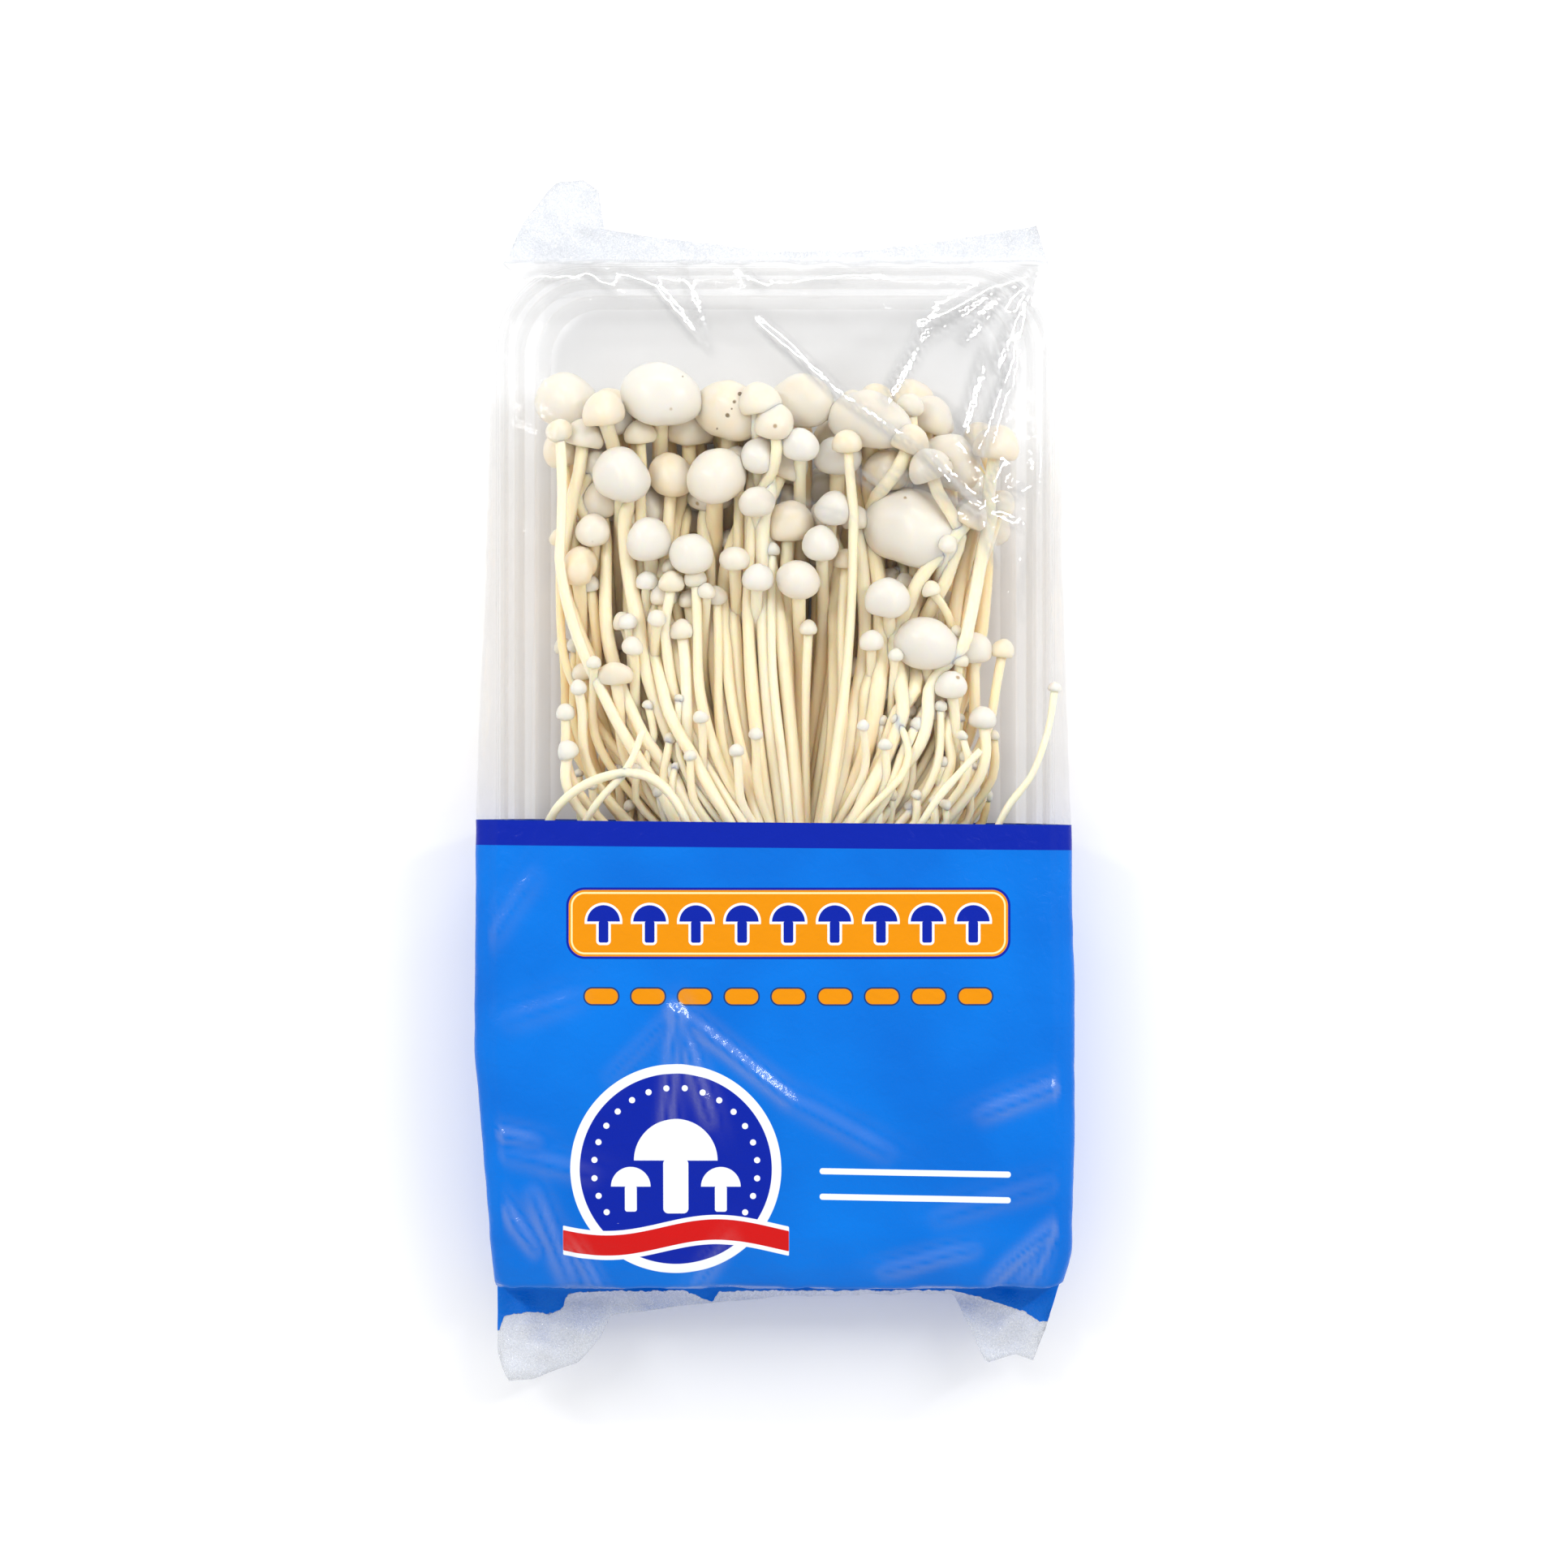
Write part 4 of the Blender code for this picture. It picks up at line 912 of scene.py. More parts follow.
def paths(caps, laid):
    """Each stem's places, and the middle of its cap, from what settle gives."""
    x, z, _, in_cap, in_stem = laid
    lines = stations()
    stems, centres = [], []
    for one in range(len(caps)):
        places = np.flatnonzero(in_stem[one])
        stems.append(np.stack([x[one, places], lines[places], z[one, places]], axis=1))
        held = in_cap[one]
        centres.append(np.array((x[one, held].mean(), caps[one, 1], z[one, held].mean())))
    return stems, centres


def lay_named():
    """The mushrooms that are solids, laid out as there."""
    caps = np.array(CAPS)
    lines = stations()
    foot_x, foot_z, layer_z = feet(caps)
    sway = np.random.default_rng(SEED).uniform(-SWAY, SWAY, len(caps))
    ceiling = film_top(caps[:, 0], caps[:, 1]) - FILM_SOLID_WALL - STEM_CLEARANCE
    cap_z = ceiling - caps[:, 3] - caps[:, 2] / 2.0
    x = run_across(caps, foot_x, sway, lines)
    z = run_up(caps, cap_z, foot_z, layer_z, lines)
    return caps, settle(caps, x, z, cap_z, (foot_x, foot_z), SETTLE_ROUNDS, SETTLE_GAP)


def lay_fillers(count, named):
    """Thin stems and small caps between the named ones.

    One in three stands in the tray's lower corners, short and thin. The others go through the
    waist, and those that reach far lie deep and carry larger caps.
    """
    chance = np.random.default_rng(SEED + 1)
    lines = stations()
    corner = np.arange(count) % 3 == 0
    pick = chance.random((6, count))
    side = np.where(pick[0] < 0.5, -1.0, 1.0)
    # Where each cap lies along and across the pack: in a lower corner, or anywhere higher up.
    cap_y = np.where(corner, -5.0 + 20.0 * pick[1] ** 1.5, 16.0 + 56.0 * pick[1] ** 0.7)
    cap_x = np.where(corner, side * (15.0 + 25.0 * pick[2]) + 1.0, -39.0 + 78.0 * pick[2])
    # Its diameter, and the layer that its stem lies in.
    small = np.where(corner, 1.5 + 1.4 * pick[3], 2.4 + 3.0 * pick[3])
    diameter = np.where(cap_y > 45.0, 4.5 + 4.5 * pick[3], small)
    layer = np.where(corner, 4.0 + 20.0 * pick[4], 3.0 + 20.0 * pick[4])
    cap_z = np.clip(layer + np.where(cap_y > 40.0, 0.0, 3.0), 4.0, 24.0) - diameter * 0.2
    caps = np.stack([cap_x, cap_y, diameter, np.zeros(count)], axis=1)
    # Its foot on the root base, clear of the base's sides.
    inset = 3.5
    foot_x = np.clip(cap_x * 0.8, -BASE_HALF_WIDTH + inset, BASE_HALF_WIDTH - inset) + 2.0 * (pick[5] - 0.5)
    foot_z = BASE_MIDDLE_Z + (layer - 13.0) * 0.7
    sway = np.where(corner, 1.6, 0.9) * (chance.random(count) - 0.5) * 2.0
    x = run_across(caps, foot_x, sway, lines)
    z = run_up(caps, cap_z, foot_z, layer, lines)
    laid = settle(caps, x, z, cap_z, (foot_x, foot_z), FILLER_ROUNDS, FILLER_GAP, named[:3])
    return caps, laid


# ---------------------------------------------------------------- mushrooms

def smooth_path(points, step):
    """Points about a step apart on a smooth curve through the given ones."""
    points = np.asarray(points)
    padded = np.concatenate([[2 * points[0] - points[1]], points, [2 * points[-1] - points[-2]]])
    out = []
    for k in range(1, len(padded) - 2):
        p0, p1, p2, p3 = padded[k - 1:k + 3]
        pieces = max(int(np.ceil(np.linalg.norm(p2 - p1) / step)), 1)
        for t in np.arange(pieces) / pieces:
            out.append(0.5 * (2 * p1 + (p2 - p0) * t + (2 * p0 - 5 * p1 + 4 * p2 - p3) * t ** 2
                              + (3 * p1 - p0 - 3 * p2 + p3) * t ** 3))
    out.append(points[-1])
    return np.array(out)


def ring_round(centre, direction, radii, turns):
    """A ring of points round a centre, square to a direction, with a radius at each turn."""
    across = np.array((1.0, 0.0, 0.0)) - direction * direction[0]
    across /= np.linalg.norm(across)
    upright = np.cross(direction, across)
    return centre + (radii * np.cos(turns))[:, None] * across + (radii * np.sin(turns))[:, None] * upright


def add_stem(builder, path, radius, sides, tone, rng):
    """A stem: slightly flattened, with shallow grooves and a slow change of thickness."""
    turns = np.linspace(0.0, 2.0 * np.pi, sides, endpoint=False)
    grooves, phase = rng.integers(2, 4), rng.uniform(0.0, 6.28)
    waves = rng.uniform(0.0, 6.28, 2)
    spread = np.linspace(0.0, 1.0, len(path))
    tangents = np.gradient(path, axis=0)
    tangents /= np.linalg.norm(tangents, axis=1)[:, None]
    rings = []
    for place, tangent, share in zip(path, tangents, spread):
        slow, quick = np.sin(9.0 * share + waves[0]), np.sin(23.0 * share + waves[1])
        size = radius * (1.0 + STEM_SLOW_WAVE * slow + STEM_QUICK_WAVE * quick)
        size *= 1.0 + STEM_FOOT_SWELL * (1.0 - share)
        groove = np.cos(grooves * turns + phase + STEM_TWIST * share)
        radii = size * STEM_SWELL * (1.0 + STEM_GROOVE * groove)
        rings.append(ring_round(place, tangent, radii, turns))
    builder.rings(rings, [0] * len(rings), tone)


# A cap's outline from the hollow round its neck, over the rolled rim, to its crown, as (share
# of its height, share of its radius, how much it belongs to the rim and underside, which also sets its
# painted tan shade).
CAP_OUTLINE = (
    (0.22, 0.14, 1.0), (0.16, 0.38, 1.0), (0.07, 0.60, 1.0), (0.01, 0.74, 0.9), (0.015, 0.85, 0.7),
    (0.08, 0.945, 0.45), (0.19, 0.992, 0.25), (0.32, 1.0, 0.1), (0.46, 0.955, 0.0), (0.60, 0.87, 0.0),
    (0.73, 0.74, 0.0), (0.84, 0.58, 0.0), (0.92, 0.40, 0.0), (0.972, 0.22, 0.0), (0.995, 0.08, 0.0),
)


def add_cap(builder, bottom, axis, diameter, character, tone, rng):
    """A cap: a globe with a rolled, slightly lobed rim, shallow dents and an off-centre crown."""
    wide, deep, roll, lobes, tan = character
    big = diameter > SMALL_CAP
    sides = FINE_CAP_SIDES if big else SMALL_CAP_SIDES
    turns = np.linspace(0.0, 2.0 * np.pi, sides, endpoint=False)
    height = CAP_HEIGHT_SHARE * diameter
    phases = rng.uniform(0.0, 6.28, 4)
    roll = np.radians(roll)
    # Two broad lobes, three lower ones and five faint ones round the rim.
    outline = 1.0 + lobes * np.cos(2.0 * turns + phases[0])
    outline += 0.45 * lobes * np.cos(3.0 * turns + phases[1])
    outline += 0.25 * lobes * np.cos(5.0 * turns + phases[2])
    stretch = 1.0 / np.sqrt((np.cos(turns - roll) / wide) ** 2 + (np.sin(turns - roll) / deep) ** 2)
    across = np.array((1.0, 0.0, 0.0)) - axis * axis[0]
    across /= np.linalg.norm(across)
    upright = np.cross(axis, across)
    lean = (across * np.cos(phases[3]) + upright * np.sin(phases[3])) * diameter * CROWN_LEAN
    offset = Vector(phases[:3] * 9.0)
    rings, rims = [], []
    for share, width, rim in CAP_OUTLINE:
        shaped = 1.0 + (outline - 1.0) * min(width * 1.2, 1.0)
        radii = width * diameter / 2.0 * shaped * (1.0 + (stretch - 1.0) * min(width * 1.3, 1.0))
        if big and rim >= 0.9:
            radii = radii * (1.0 + GILL_DEPTH * np.where(np.arange(sides) % 2, 1.0, -1.0))
        ring = ring_round(bottom + axis * share * height + lean * share, axis, radii, turns)
        swell = [BROAD_DENT * diameter * noise.noise(Vector(point * (2.4 / diameter)) + offset)
                 + FINE_DENT * diameter * noise.noise(Vector(point * (8.0 / diameter))) for point in ring]
        outward = ring - (bottom + axis * 0.4 * height)
        outward /= np.linalg.norm(outward, axis=1)[:, None]
        rings.append(ring + outward * np.array(swell)[:, None])
        rims.append(rim)
    builder.rings(rings, [1] * len(rings), tone + tan, rims)


def add_mushroom(builder, stem, centre, diameter, radius, tilt_degrees, character, rng, fine=True):
    """A stem along its places, bending up into its cap. The tilt is the cap's, from lying flat."""
    height = CAP_HEIGHT_SHARE * diameter
    tilt = np.radians(tilt_degrees)
    lean = stem[-1] - stem[-2]
    lean = lean / np.linalg.norm(lean)
    axis = np.array((lean[0] * SIDE_LEAN, np.cos(tilt), np.sin(tilt)))
    axis /= np.linalg.norm(axis)
    bottom = np.asarray(centre) - axis * CAP_MIDDLE * height
    neck = bottom + axis * (CAP_UNDERSIDE + 0.2) * height
    step, sides = (2.0, 12) if fine else (4.0, 8)
    path = smooth_path(np.concatenate([stem, [neck]]), step)
    tone = rng.uniform(0.0, 0.5)
    add_stem(builder, path, radius, sides, tone, rng)
    add_cap(builder, bottom, axis, diameter, character, tone * 0.6, rng)


def finished(piece):
    """Let a piece ride on the one body."""
    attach(piece, "root")


class ENOKI_OT_mushrooms(bpy.types.Operator):
    """Make every named mushroom, the stray one, and the thin stems between them"""

    bl_idname = "enoki.mushrooms"
    bl_label = "Mushrooms"

    def execute(self, context):
        """Lay the bunch out and build it."""
        settings = context.scene.enoki_bunch
        flesh = [stem_flesh(settings), cap_flesh(settings)]
        caps, laid = lay_named()
        stems, centres = paths(caps, laid)
        for number, (stem, centre, cap) in enumerate(zip(stems, centres, caps), start=1):
            rng = np.random.default_rng(SEED * 1000 + number)
            tilt = CAP_TILT_DEGREES if cap[2] > SMALL_CAP else SMALL_CAP_TILT_DEGREES
            builder = Builder()
            add_mushroom(builder, stem, centre, cap[2], stem_radius(cap[2]), tilt,
                         CHARACTER.get(number, PLAIN_CHARACTER), rng)
            piece = builder.make(f"mushroom_{number:02d}_fine", flesh)
            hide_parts(f"mushroom_{number:02d}")
            finished(piece)
        self.stray(flesh)
        self.fillers(settings.filler_stems, laid, flesh)
        return {"FINISHED"}

    def stray(self, flesh):
        """The one that lies over the tray's rim."""
        stem = np.array(STRAY_STEM)
        way = stem[-1] - stem[-2]
        tip = stem[-1] + way / np.linalg.norm(way) * STRAY_CAP_DIAMETER * 0.6
        builder = Builder()
        add_mushroom(builder, stem, tip, STRAY_CAP_DIAMETER, STRAY_RADIUS, 5.0, PLAIN_CHARACTER,
                     np.random.default_rng(SEED * 1000))
        piece = builder.make("stray_mushroom_fine", flesh)
        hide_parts("stray_mushroom")
        finished(piece)

    def fillers(self, count, laid, flesh):
        """Groups of thin stems, by their place across the bunch."""
        if count == 0:
            return
        caps, filled = lay_fillers(count, laid)
        stems, centres = paths(caps, filled)
        groups = [Builder() for _ in range(GROUP_COUNT)]
        for one in range(count):
            if len(stems[one]) < 3:
                continue
            rng = np.random.default_rng(SEED * 2000 + one)
            place = (caps[one, 0] + BUNCH_HALF_WIDTH) / (2.0 * BUNCH_HALF_WIDTH)
            slot = int(np.clip(place * GROUP_COUNT, 0, GROUP_COUNT - 1))
            tan = rng.uniform(0.1, 0.5)
            tilt = rng.uniform(5.0, 35.0)
            add_mushroom(groups[slot], stems[one], centres[one], caps[one, 2],
                         stem_radius(caps[one, 2]) * rng.uniform(0.9, 1.15), tilt,
                         (1.0, 1.0, 0, 0.07, tan), rng, fine=False)
        for points, radius in LOOSE_STEMS:
            slot = 0 if points[0][0] < 0.0 else GROUP_COUNT - 1
            add_stem(groups[slot], smooth_path(points, LOOSE_STEP), radius, LOOSE_SIDES, LOOSE_TONE,
                     np.random.default_rng(SEED))
        for number, builder in enumerate(groups, start=1):
            if builder.count:
                finished(builder.make(f"thin_stems_{number}", flesh))


class ENOKI_OT_root_base(bpy.types.Operator):
    """Make the fused butt that the stems grow from"""

    bl_idname = "enoki.root_base"
    bl_label = "Root base"

    def execute(self, context):
        """A lumpy block whose skin shows the fused feet as ridges."""
        sides, slices = 160, 22
        turns = np.linspace(0.0, 2.0 * np.pi, sides, endpoint=False)
        shape_x = np.sign(np.cos(turns)) * np.abs(np.cos(turns)) ** 0.55 * BASE_HALF_WIDTH
        shape_z = np.sign(np.sin(turns)) * np.abs(np.sin(turns)) ** 0.6 * BASE_HALF_HEIGHT
        rings = []
        for share in np.linspace(0.0, 1.0, slices):
            swell = 1.0 - 0.18 * max(1.0 - share / 0.15, 0.0) ** 2 - 0.07 * max((share - 0.8) / 0.2, 0.0)
            lumps = 1.0 + 0.02 * np.sin(5.0 * turns + 3.0 * share) + 0.018 * np.abs(np.sin(30.0 * turns))
            y = BASE_BACK_Y + share * (BASE_FRONT_Y - BASE_BACK_Y)
            ring = np.stack([
                shape_x * swell * lumps, np.full(sides, y), BASE_MIDDLE_Z + shape_z * swell * lumps], axis=1)
            rings.append(ring[::-1])
        builder = Builder()
        builder.rings(rings, [0] * len(rings))
        piece = builder.make("root_base_fine", [butt_flesh()])
        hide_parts("root_base")
        finished(piece)
        return {"FINISHED"}


# ---------------------------------------------------------------- tray

class ENOKI_OT_tray(bpy.types.Operator):
    """Make the clear tray with its stepped walls and rim"""

    bl_idname = "enoki.tray"
    bl_label = "Tray"

    def execute(self, context):
        """Loft rounded rectangles up the wall's lines, and thicken the sheet."""
        lines = smooth_path([(outset, height, 0.0) for outset, height in WALL_LINES], 0.7)
        corner_turns = np.linspace(0.0, np.pi / 2.0, 14)
        straight = 40
        rings = []

        def outline(half_width, half_length, corner, height):
            """A rounded rectangle with points along its straights too."""
            points = []
            corners = ((1, 1), (-1, 1), (-1, -1), (1, -1))
            for quarter, (sign_x, sign_y) in enumerate(corners):
                angles = corner_turns + quarter * np.pi / 2.0
                arc = np.stack([sign_x * (half_width - corner) + corner * np.cos(angles),
                                sign_y * (half_length - corner) + corner * np.sin(angles)], axis=1)
                points.append(arc)
                after = corners[(quarter + 1) % 4]
                angle = (quarter + 1) * np.pi / 2.0
                start = arc[-1]
                end = np.array((after[0] * (half_width - corner) + corner * np.cos(angle),
                                after[1] * (half_length - corner) + corner * np.sin(angle)))
                shares = np.linspace(0.0, 1.0, straight + 2)[1:-1, None]
                points.append(start + (end - start) * shares)
            flat = np.concatenate(points)
            return np.column_stack([flat[:, 0], flat[:, 1] + TRAY_MIDDLE_Y, np.full(len(flat), height)])

        for share in (0.25, 0.5, 0.75, 0.9):
            rings.append(outline(
                FLOOR_HALF_WIDTH * share, FLOOR_HALF_LENGTH * share, FLOOR_CORNER * share, TRAY_LIFT))
        for outset, height, _ in lines:
            rings.append(outline(FLOOR_HALF_WIDTH + outset, FLOOR_HALF_LENGTH + outset * END_WALL_SHARE,
                                 FLOOR_CORNER + outset * END_WALL_SHARE, TRAY_LIFT + height))
        sides = len(rings[0])
        points = np.concatenate(rings)
        faces = [tuple(range(sides - 1, -1, -1))]
        for low in range(len(rings) - 1):
            for side in range(sides):
                after = (side + 1) % sides
                faces.append((low * sides + side, low * sides + after,
                              (low + 1) * sides + after, (low + 1) * sides + side))
        mesh = bpy.data.meshes.new("tray_fine")
        mesh.from_pydata((points * MM).tolist(), [], faces)
        mesh.materials.append(clear_pet())
        mesh.shade_smooth()
        piece = bpy.data.objects.new("tray_fine", mesh)
        context.scene.collection.objects.link(piece)
        solid = piece.modifiers.new("wall", "SOLIDIFY")
        solid.thickness = TRAY_WALL * MM * 0.8
        solid.offset = -1.0
        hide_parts("tray")
        finished(piece)
        return {"FINISHED"}


# ---------------------------------------------------------------- film

def film_lines(step):
    """Lines across the wrap from foot to head, each with its (upper y, lower y, share that is
    fin, share that follows the fin's edge, -1 at the foot or 1 at the head).
    """
    foot = TRAY_MIDDLE_Y - FLOOR_HALF_LENGTH - WALL_LINES[-1][0] * END_WALL_SHARE
    head = TRAY_MIDDLE_Y + FLOOR_HALF_LENGTH + WALL_LINES[-1][0] * END_WALL_SHARE
    fin_length = 12.0
    keys = [(foot - 2.0, foot - 1.4, 1.0, 1.0, -1.0)]
    keys += [(foot - top, foot - low, fin, 0.0, -1.0) for top, low, fin in END_STEPS[::-1]]
    keys += [(head + top, head + low, fin, 0.0, 1.0) for top, low, fin in END_STEPS]
    keys += [(head + 2.0, head + 1.4, 1.0, 1.0, 1.0)]
    keys = np.array(keys)
    lengths = [fin_length]
    for low, high in zip(keys[1:-2], keys[2:-1]):
        fall = abs(high[2] - low[2]) * FIN_HEIGHT
        lengths.append(np.hypot(high[0] - low[0], fall))
    lengths.append(fin_length)
    place = np.concatenate([[0.0], np.cumsum(lengths)])
    count = int(place[-1] / step)
    fine = np.linspace(0.0, place[-1], count)
    return np.stack([np.interp(fine, place, keys[:, k]) for k in range(5)], axis=1)


def film_grid(step):
    """The wrap's outer face as a grid of points: lines along it, and points round each line."""
    lines = film_lines(step)
    y_top, y_low, fin, edge, end = lines.T
    outline_place = np.where(end < 0.0, OUTLINE_FOOT_Y, OUTLINE_HEAD_Y)
    body_place = np.where(edge > 0.0, outline_place, y_top)
    shoulder = shoulder_height(y_top)
    half_fin = FIN_HALF_GAP - FIN_TIP_CLOSES * edge
    profile = smooth_path([(share, height, 0.0) for share, height in SIDE_LINES], 0.8)
    columns = []

    def column(sign, body_x, body_z, fin_x, fin_z, upper):
        """Points along the wrap that share a place round it."""
        x = sign * ((1.0 - fin) * body_x + fin * fin_x)
        z = (1.0 - fin) * body_z + fin * fin_z
        y = y_low + (y_top - y_low) * upper
        foot_y, head_y = along(FOOT_FIN_EDGE, x), along(HEAD_FIN_EDGE, x)
        y = y + edge * (np.where(end < 0.0, foot_y, head_y) - y)
        columns.append(np.stack([x, y, z, np.full_like(x, upper)], axis=1))

    for sign in (1.0, -1.0):
        body_half = np.abs(along(RIGHT_EDGE if sign > 0 else LEFT_EDGE, body_place))
        tip_foot = abs(FOOT_FIN_EDGE[-1 if sign > 0 else 0][0])
        tip_head = abs(HEAD_FIN_EDGE[-1 if sign > 0 else 0][0])
        half = body_half + edge * (np.where(end < 0.0, tip_foot, tip_head) - body_half)
        fin_half = half - half_fin
        start = len(columns)
        for share in np.linspace(0.0, 1.0, 50)[(0 if sign > 0 else 1):]:
            column(sign, share * FLAT_HALF_WIDTH, 0.0, share * fin_half, FIN_HEIGHT - half_fin, 0.0)
        turns = len(profile) + 6
        for number, (share, height, _) in enumerate(profile[1:]):
            upper = (number + 1) / turns
            angle = np.pi * (upper - 0.5)
            column(sign, FLAT_HALF_WIDTH + (half - FLAT_HALF_WIDTH) * share,
                   np.minimum(height, shoulder - SHOULDER_ROUND),
                   fin_half + half_fin * np.cos(angle), FIN_HEIGHT + half_fin * np.sin(angle), upper)
        for number, turn in enumerate(np.linspace(0.0, np.pi / 2.0, 7)[1:], start=len(profile)):
            upper = number / turns
            angle = np.pi * (upper - 0.5)
            column(sign, half - SHOULDER_TUCK * (1.0 - np.cos(turn)),
                   shoulder - SHOULDER_ROUND + SHOULDER_ROUND * np.sin(turn),
                   fin_half + half_fin * np.cos(angle), FIN_HEIGHT + half_fin * np.sin(angle), upper)
        shares = np.linspace(1.0, 0.0, 68)[1:]
        for share in shares if sign > 0 else shares[:-1]:
            body_x = share * (half - SHOULDER_TUCK)
            column(sign, body_x, film_top(sign * body_x, y_top), share * fin_half, FIN_HEIGHT + half_fin, 1.0)
        if sign < 0:
            columns[start:] = columns[start:][::-1]
    return np.stack(columns, axis=1), fin


def crease_height(x, y):
    """How far the creases lift the film's upper face."""
    lift = np.zeros_like(x)
    for x1, y1, x2, y2, width, height in CREASES:
        dx, dy = x2 - x1, y2 - y1
        length = np.hypot(dx, dy)
        share = np.clip(((x - x1) * dx + (y - y1) * dy) / length ** 2, 0.0, 1.0)
        off = np.hypot(x - x1 - share * dx, y - y1 - share * dy)
        side = ((x - x1) * dy - (y - y1) * dx) / length
        fade = np.sqrt(np.clip(4.0 * (share + 0.08) * (1.08 - share), 0.0, 1.0))
        # A ridge, with a shallow trough beside it.
        trough = np.exp(-((side + 1.6 * width) / width) ** 2 - (off / (3.0 * width)) ** 2)
        ridge = np.exp(-(off / width) ** 2) - 0.45 * trough
        lift += height * fade * ridge
    return lift


class ENOKI_OT_film_wrap(bpy.types.Operator):
    """Make the film wrap with its creases, end fins and crumpled ears"""

    bl_idname = "enoki.film_wrap"
    bl_label = "Film wrap"

    def execute(self, context):
        """Skin a fine grid, crease it, and thicken it."""
        settings = context.scene.enoki_film
        grid, fin = film_grid(FILM_GRID_STEP)
        x, y, z, upper = (grid[:, :, k].copy() for k in range(4))
        flat = 1.0 - fin[:, None]
        on_top = (upper >= 0.999) * flat
        crease = crease_height(x, y) * on_top * settings.crease_scale
        slope = np.hypot(np.gradient(crease, axis=0), np.gradient(crease, axis=1))
        fold = np.clip(slope / FOLD_SLOPE, 0.0, 1.0)
        z += crease

        def noise_over(*scaled):
            """Noise at each point of the grid, from coordinates in units of the noise's size."""
            places = np.broadcast_arrays(*scaled)
            flat_places = zip(*(place.ravel() for place in places))
            return np.array([noise.noise(place) for place in flat_places]).reshape(x.shape)

        waves = noise_over(x / 9.0, y / 14.0, z / 9.0)
        ripple = noise_over(x / 3.2, y / 3.6, 7.0)
        billow = noise_over(x / 9.0, y / 14.0, 3.0)
        z += on_top * (TOP_WAVE * waves + TOP_RIPPLE * ripple)
        beyond = np.clip(np.maximum(GATHER_FOOT_Y - y, y - GATHER_HEAD_Y) / GATHER_LENGTH, 0.0, 1.0)
        z += beyond * (GATHER_WAVE * billow + GATHER_RIPPLE * ripple + GATHER_LIFT * beyond)
        on_side = (upper > 0.0) & (upper < 0.999)
        x += np.sign(x) * on_side * flat * (SIDE_WAVE * waves + SIDE_RIPPLE * ripple - SIDE_TUCK)
        near_end = np.clip((np.abs(y - END_MIDDLE_Y) - END_REACH) / END_LENGTH, 0.0, 1.0)
        near_end = near_end * (1.0 - beyond) * (z > 1.0)
        y -= np.sign(y) * near_end * np.abs(END_WAVE * waves + END_RIPPLE * ripple)
        z = np.where((upper == 0.0) & (fin[:, None] == 0.0), 0.0, z)
        rows, columns = x.shape
        points = np.stack([x, y, z], axis=2).reshape(-1, 3) * MM
        index = np.arange(rows * columns).reshape(rows, columns)
        after = np.roll(index, -1, axis=1)
        quads = np.stack([index[:-1], index[1:], after[1:], after[:-1]], axis=2).reshape(-1, 4)
        mesh = bpy.data.meshes.new("film_wrap_fine")
        mesh.from_pydata(points.tolist(), [], quads.tolist())
        mesh.materials.append(clear_film())
        mesh.materials.append(printed_film(settings))
        middle_y = y.ravel()[quads].mean(axis=1)
        plain = (middle_y > PLAIN_FILM_Y[0]) & (middle_y < PLAIN_FILM_Y[1])
        mesh.polygons.foreach_set("material_index", np.where(plain, 0, 1))
        mesh.attributes.new("fold", "FLOAT", "POINT").data.foreach_set("value", fold.ravel())
        mesh.shade_smooth()
        piece = bpy.data.objects.new("film_wrap_fine", mesh)
        context.scene.collection.objects.link(piece)
        solid = piece.modifiers.new("wall", "SOLIDIFY")
        solid.thickness = settings.wall
        solid.offset = -1.0
        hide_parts("film_wrap")
        finished(piece)
        return {"FINISHED"}


# ---------------------------------------------------------------- stage

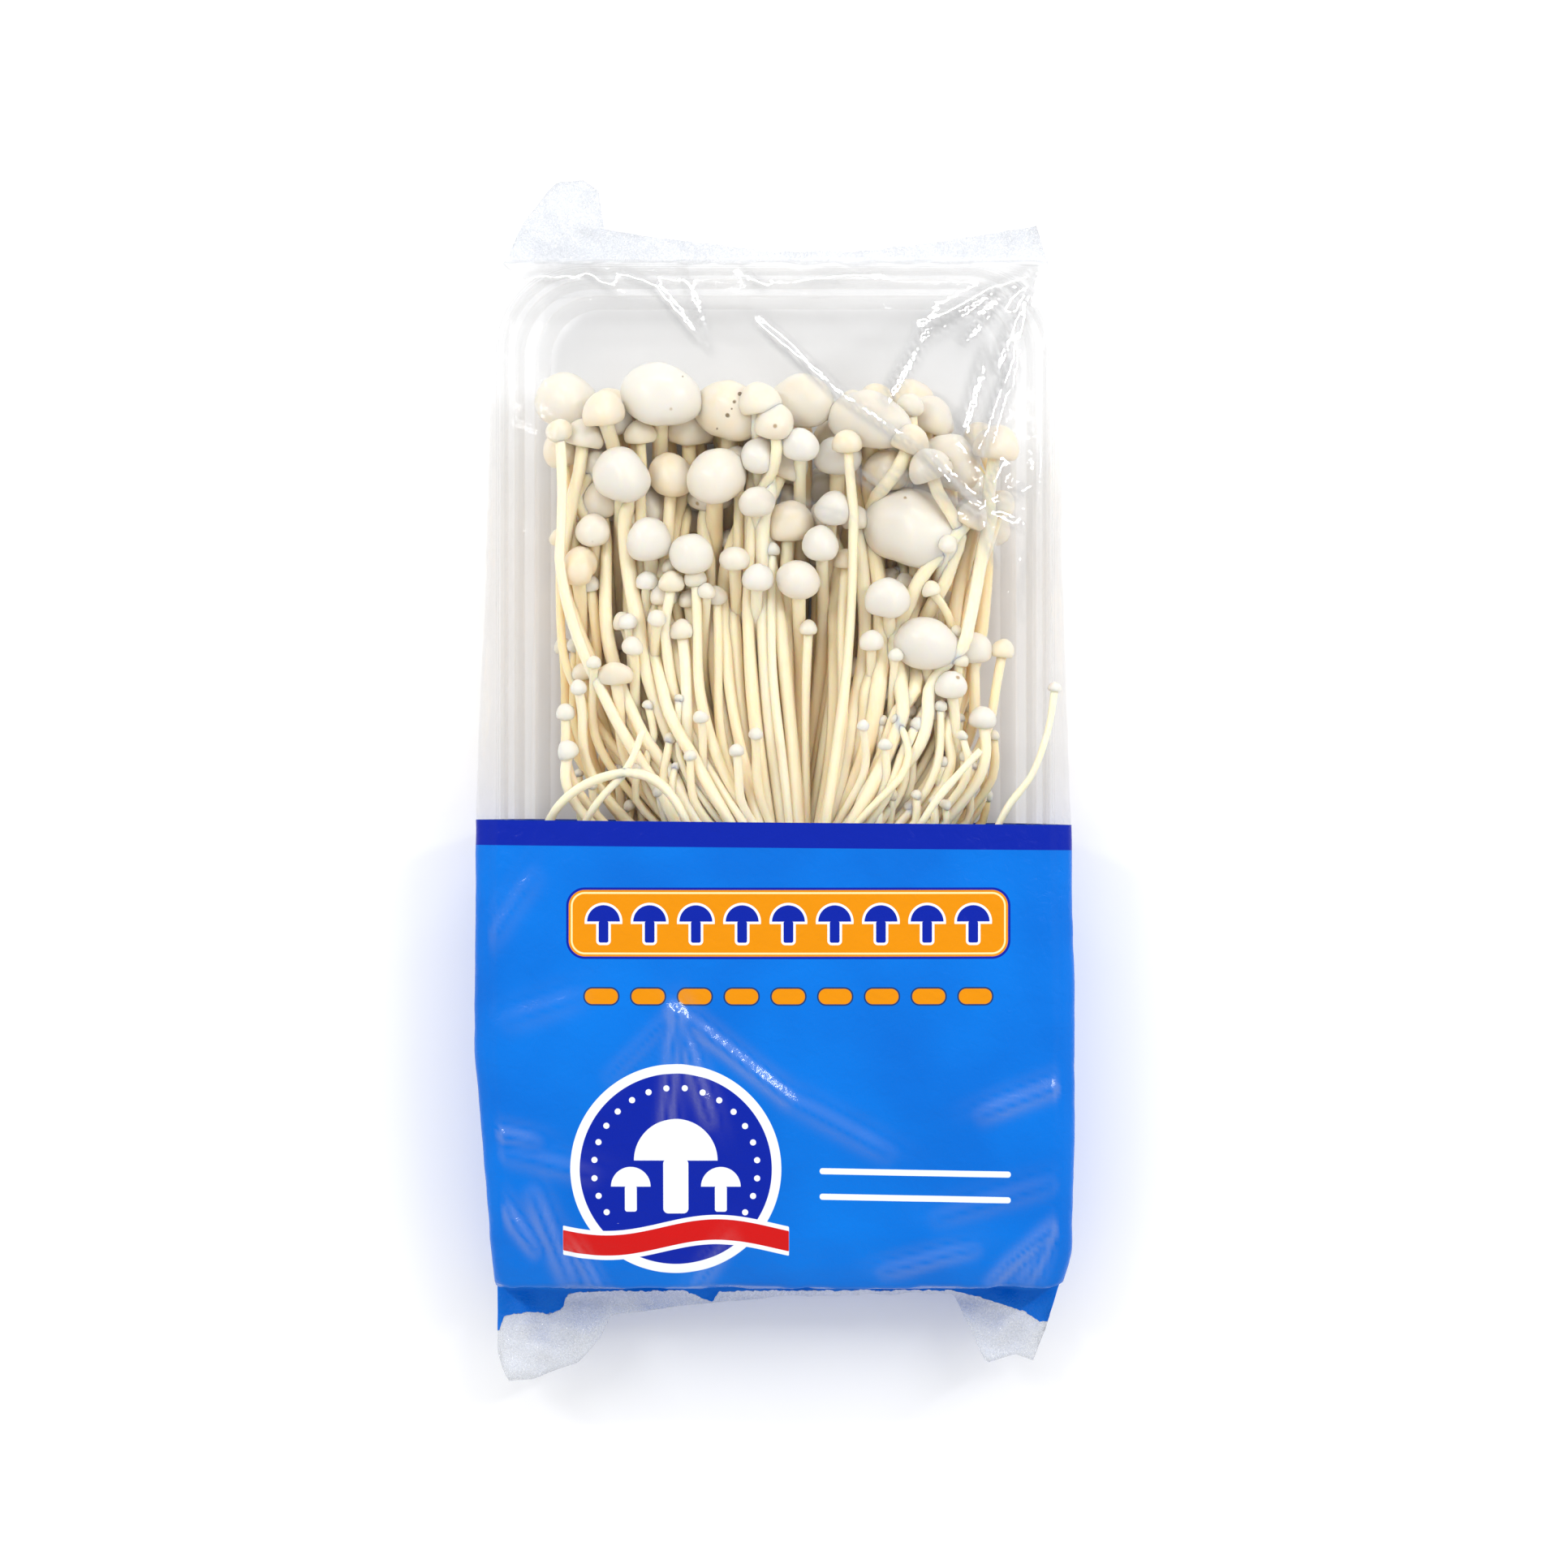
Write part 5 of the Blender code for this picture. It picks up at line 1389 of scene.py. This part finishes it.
class ENOKI_OT_stage(bpy.types.Operator):
    """Make the white floor, the soft lights and the camera above the pack"""

    bl_idname = "enoki.stage"
    bl_label = "Stage"

    def execute(self, context):
        """A board to lie on, a white surround, three softboxes, and the view from above."""
        settings = context.scene.enoki_studio
        scene = context.scene
        sides, radius = 128, 1.2
        mesh = bpy.data.meshes.new("floor")
        turns = np.linspace(0.0, 2.0 * np.pi, sides, endpoint=False)
        ring = np.stack([radius * np.cos(turns), radius * np.sin(turns), np.zeros(sides)], axis=1)
        mesh.from_pydata(ring.tolist(), [], [tuple(range(sides))])
        mesh.materials.append(white_sweep())
        board = bpy.data.objects.new("floor", mesh)
        board.location.z = FLOOR_DROP
        scene.collection.objects.link(board)
        world = bpy.data.worlds.new("white_surround")
        world.use_nodes = True
        tree = world.node_tree
        tree.nodes.clear()
        # A light tent: bright all round, dimmer overhead where it is open.
        way = node(tree, "ShaderNodeTexCoord").outputs["Generated"]
        up = node(tree, "ShaderNodeSeparateXYZ", [(0, way)]).outputs["Z"]
        tent = node(tree, "ShaderNodeMapRange", [
            (0, up), (1, 0.72), (2, 0.93), (3, settings.sky), (4, settings.sky * settings.overhead)])
        light = node(tree, "ShaderNodeBackground", [
            ("Color", (1.0, 1.0, 1.0, 1.0)), ("Strength", tent.outputs[0])])
        node(tree, "ShaderNodeOutputWorld", [("Surface", light.outputs[0])])
        scene.world = world
        for name, place, size in (
            ("softbox_right", (0.42, 0.22, 0.46), (0.025, 0.5)),
            ("softbox_left", (-0.40, 0.26, 0.54), (0.025, 0.4)),
            ("softbox_head", (0.05, 0.52, 0.50), (0.5, 0.025)),
        ):
            lamp = bpy.data.lights.new(name, "AREA")
            lamp.shape = "RECTANGLE"
            lamp.size, lamp.size_y = size
            lamp.energy = settings.softbox
            holder = bpy.data.objects.new(name, lamp)
            holder.location = place
            holder.rotation_euler = (-Vector(place)).to_track_quat("-Z", "Y").to_euler()
            scene.collection.objects.link(holder)
        eye = bpy.data.cameras.new("camera_above")
        eye.lens = settings.lens
        eye.clip_start = 0.01
        holder = bpy.data.objects.new("camera_above", eye)
        away = settings.view_width / eye.sensor_width * settings.lens
        holder.location = (EYE_X, EYE_Y, PACK_FACE_Z + away)
        scene.collection.objects.link(holder)
        scene.camera = holder
        scene.view_settings.view_transform = "Standard"
        scene.cycles.transparent_max_bounces = 48
        return {"FINISHED"}


class ENOKI_PT_panel(bpy.types.Panel):
    """The pack's steps, in the 3D view's sidebar"""

    bl_label = "Enoki tray pack"
    bl_idname = "ENOKI_PT_panel"
    bl_space_type = "VIEW_3D"
    bl_region_type = "UI"
    bl_category = "Enoki"

    def draw(self, context):
        """List the steps and the values that a user would change."""
        for step in STEPS:
            self.layout.operator(step.bl_idname)
        for group in (context.scene.enoki_bunch, context.scene.enoki_film, context.scene.enoki_studio):
            box = self.layout.box()
            for name in group.bl_rna.properties.keys():
                if name not in {"rna_type", "name"}:
                    box.prop(group, name)


STEPS = (ENOKI_OT_stage, ENOKI_OT_tray, ENOKI_OT_film_wrap, ENOKI_OT_root_base, ENOKI_OT_mushrooms)
CLASSES = (EnokiBunchSettings, FilmSettings, StudioSettings) + STEPS + (ENOKI_PT_panel,)


def register():
    """Register the classes and hang the settings on the scene."""
    for kind in CLASSES:
        bpy.utils.register_class(kind)
    bpy.types.Scene.enoki_bunch = bpy.props.PointerProperty(type=EnokiBunchSettings)
    bpy.types.Scene.enoki_film = bpy.props.PointerProperty(type=FilmSettings)
    bpy.types.Scene.enoki_studio = bpy.props.PointerProperty(type=StudioSettings)


def unregister():
    """Take the settings and the classes away again."""
    del bpy.types.Scene.enoki_studio
    del bpy.types.Scene.enoki_film
    del bpy.types.Scene.enoki_bunch
    for kind in reversed(CLASSES):
        bpy.utils.unregister_class(kind)


def main():
    """Build every piece in order."""
    register()
    bpy.ops.enoki.stage()
    bpy.ops.enoki.tray()
    bpy.ops.enoki.film_wrap()
    bpy.ops.enoki.root_base()
    bpy.ops.enoki.mushrooms()


if __name__ == "__main__":
    main()
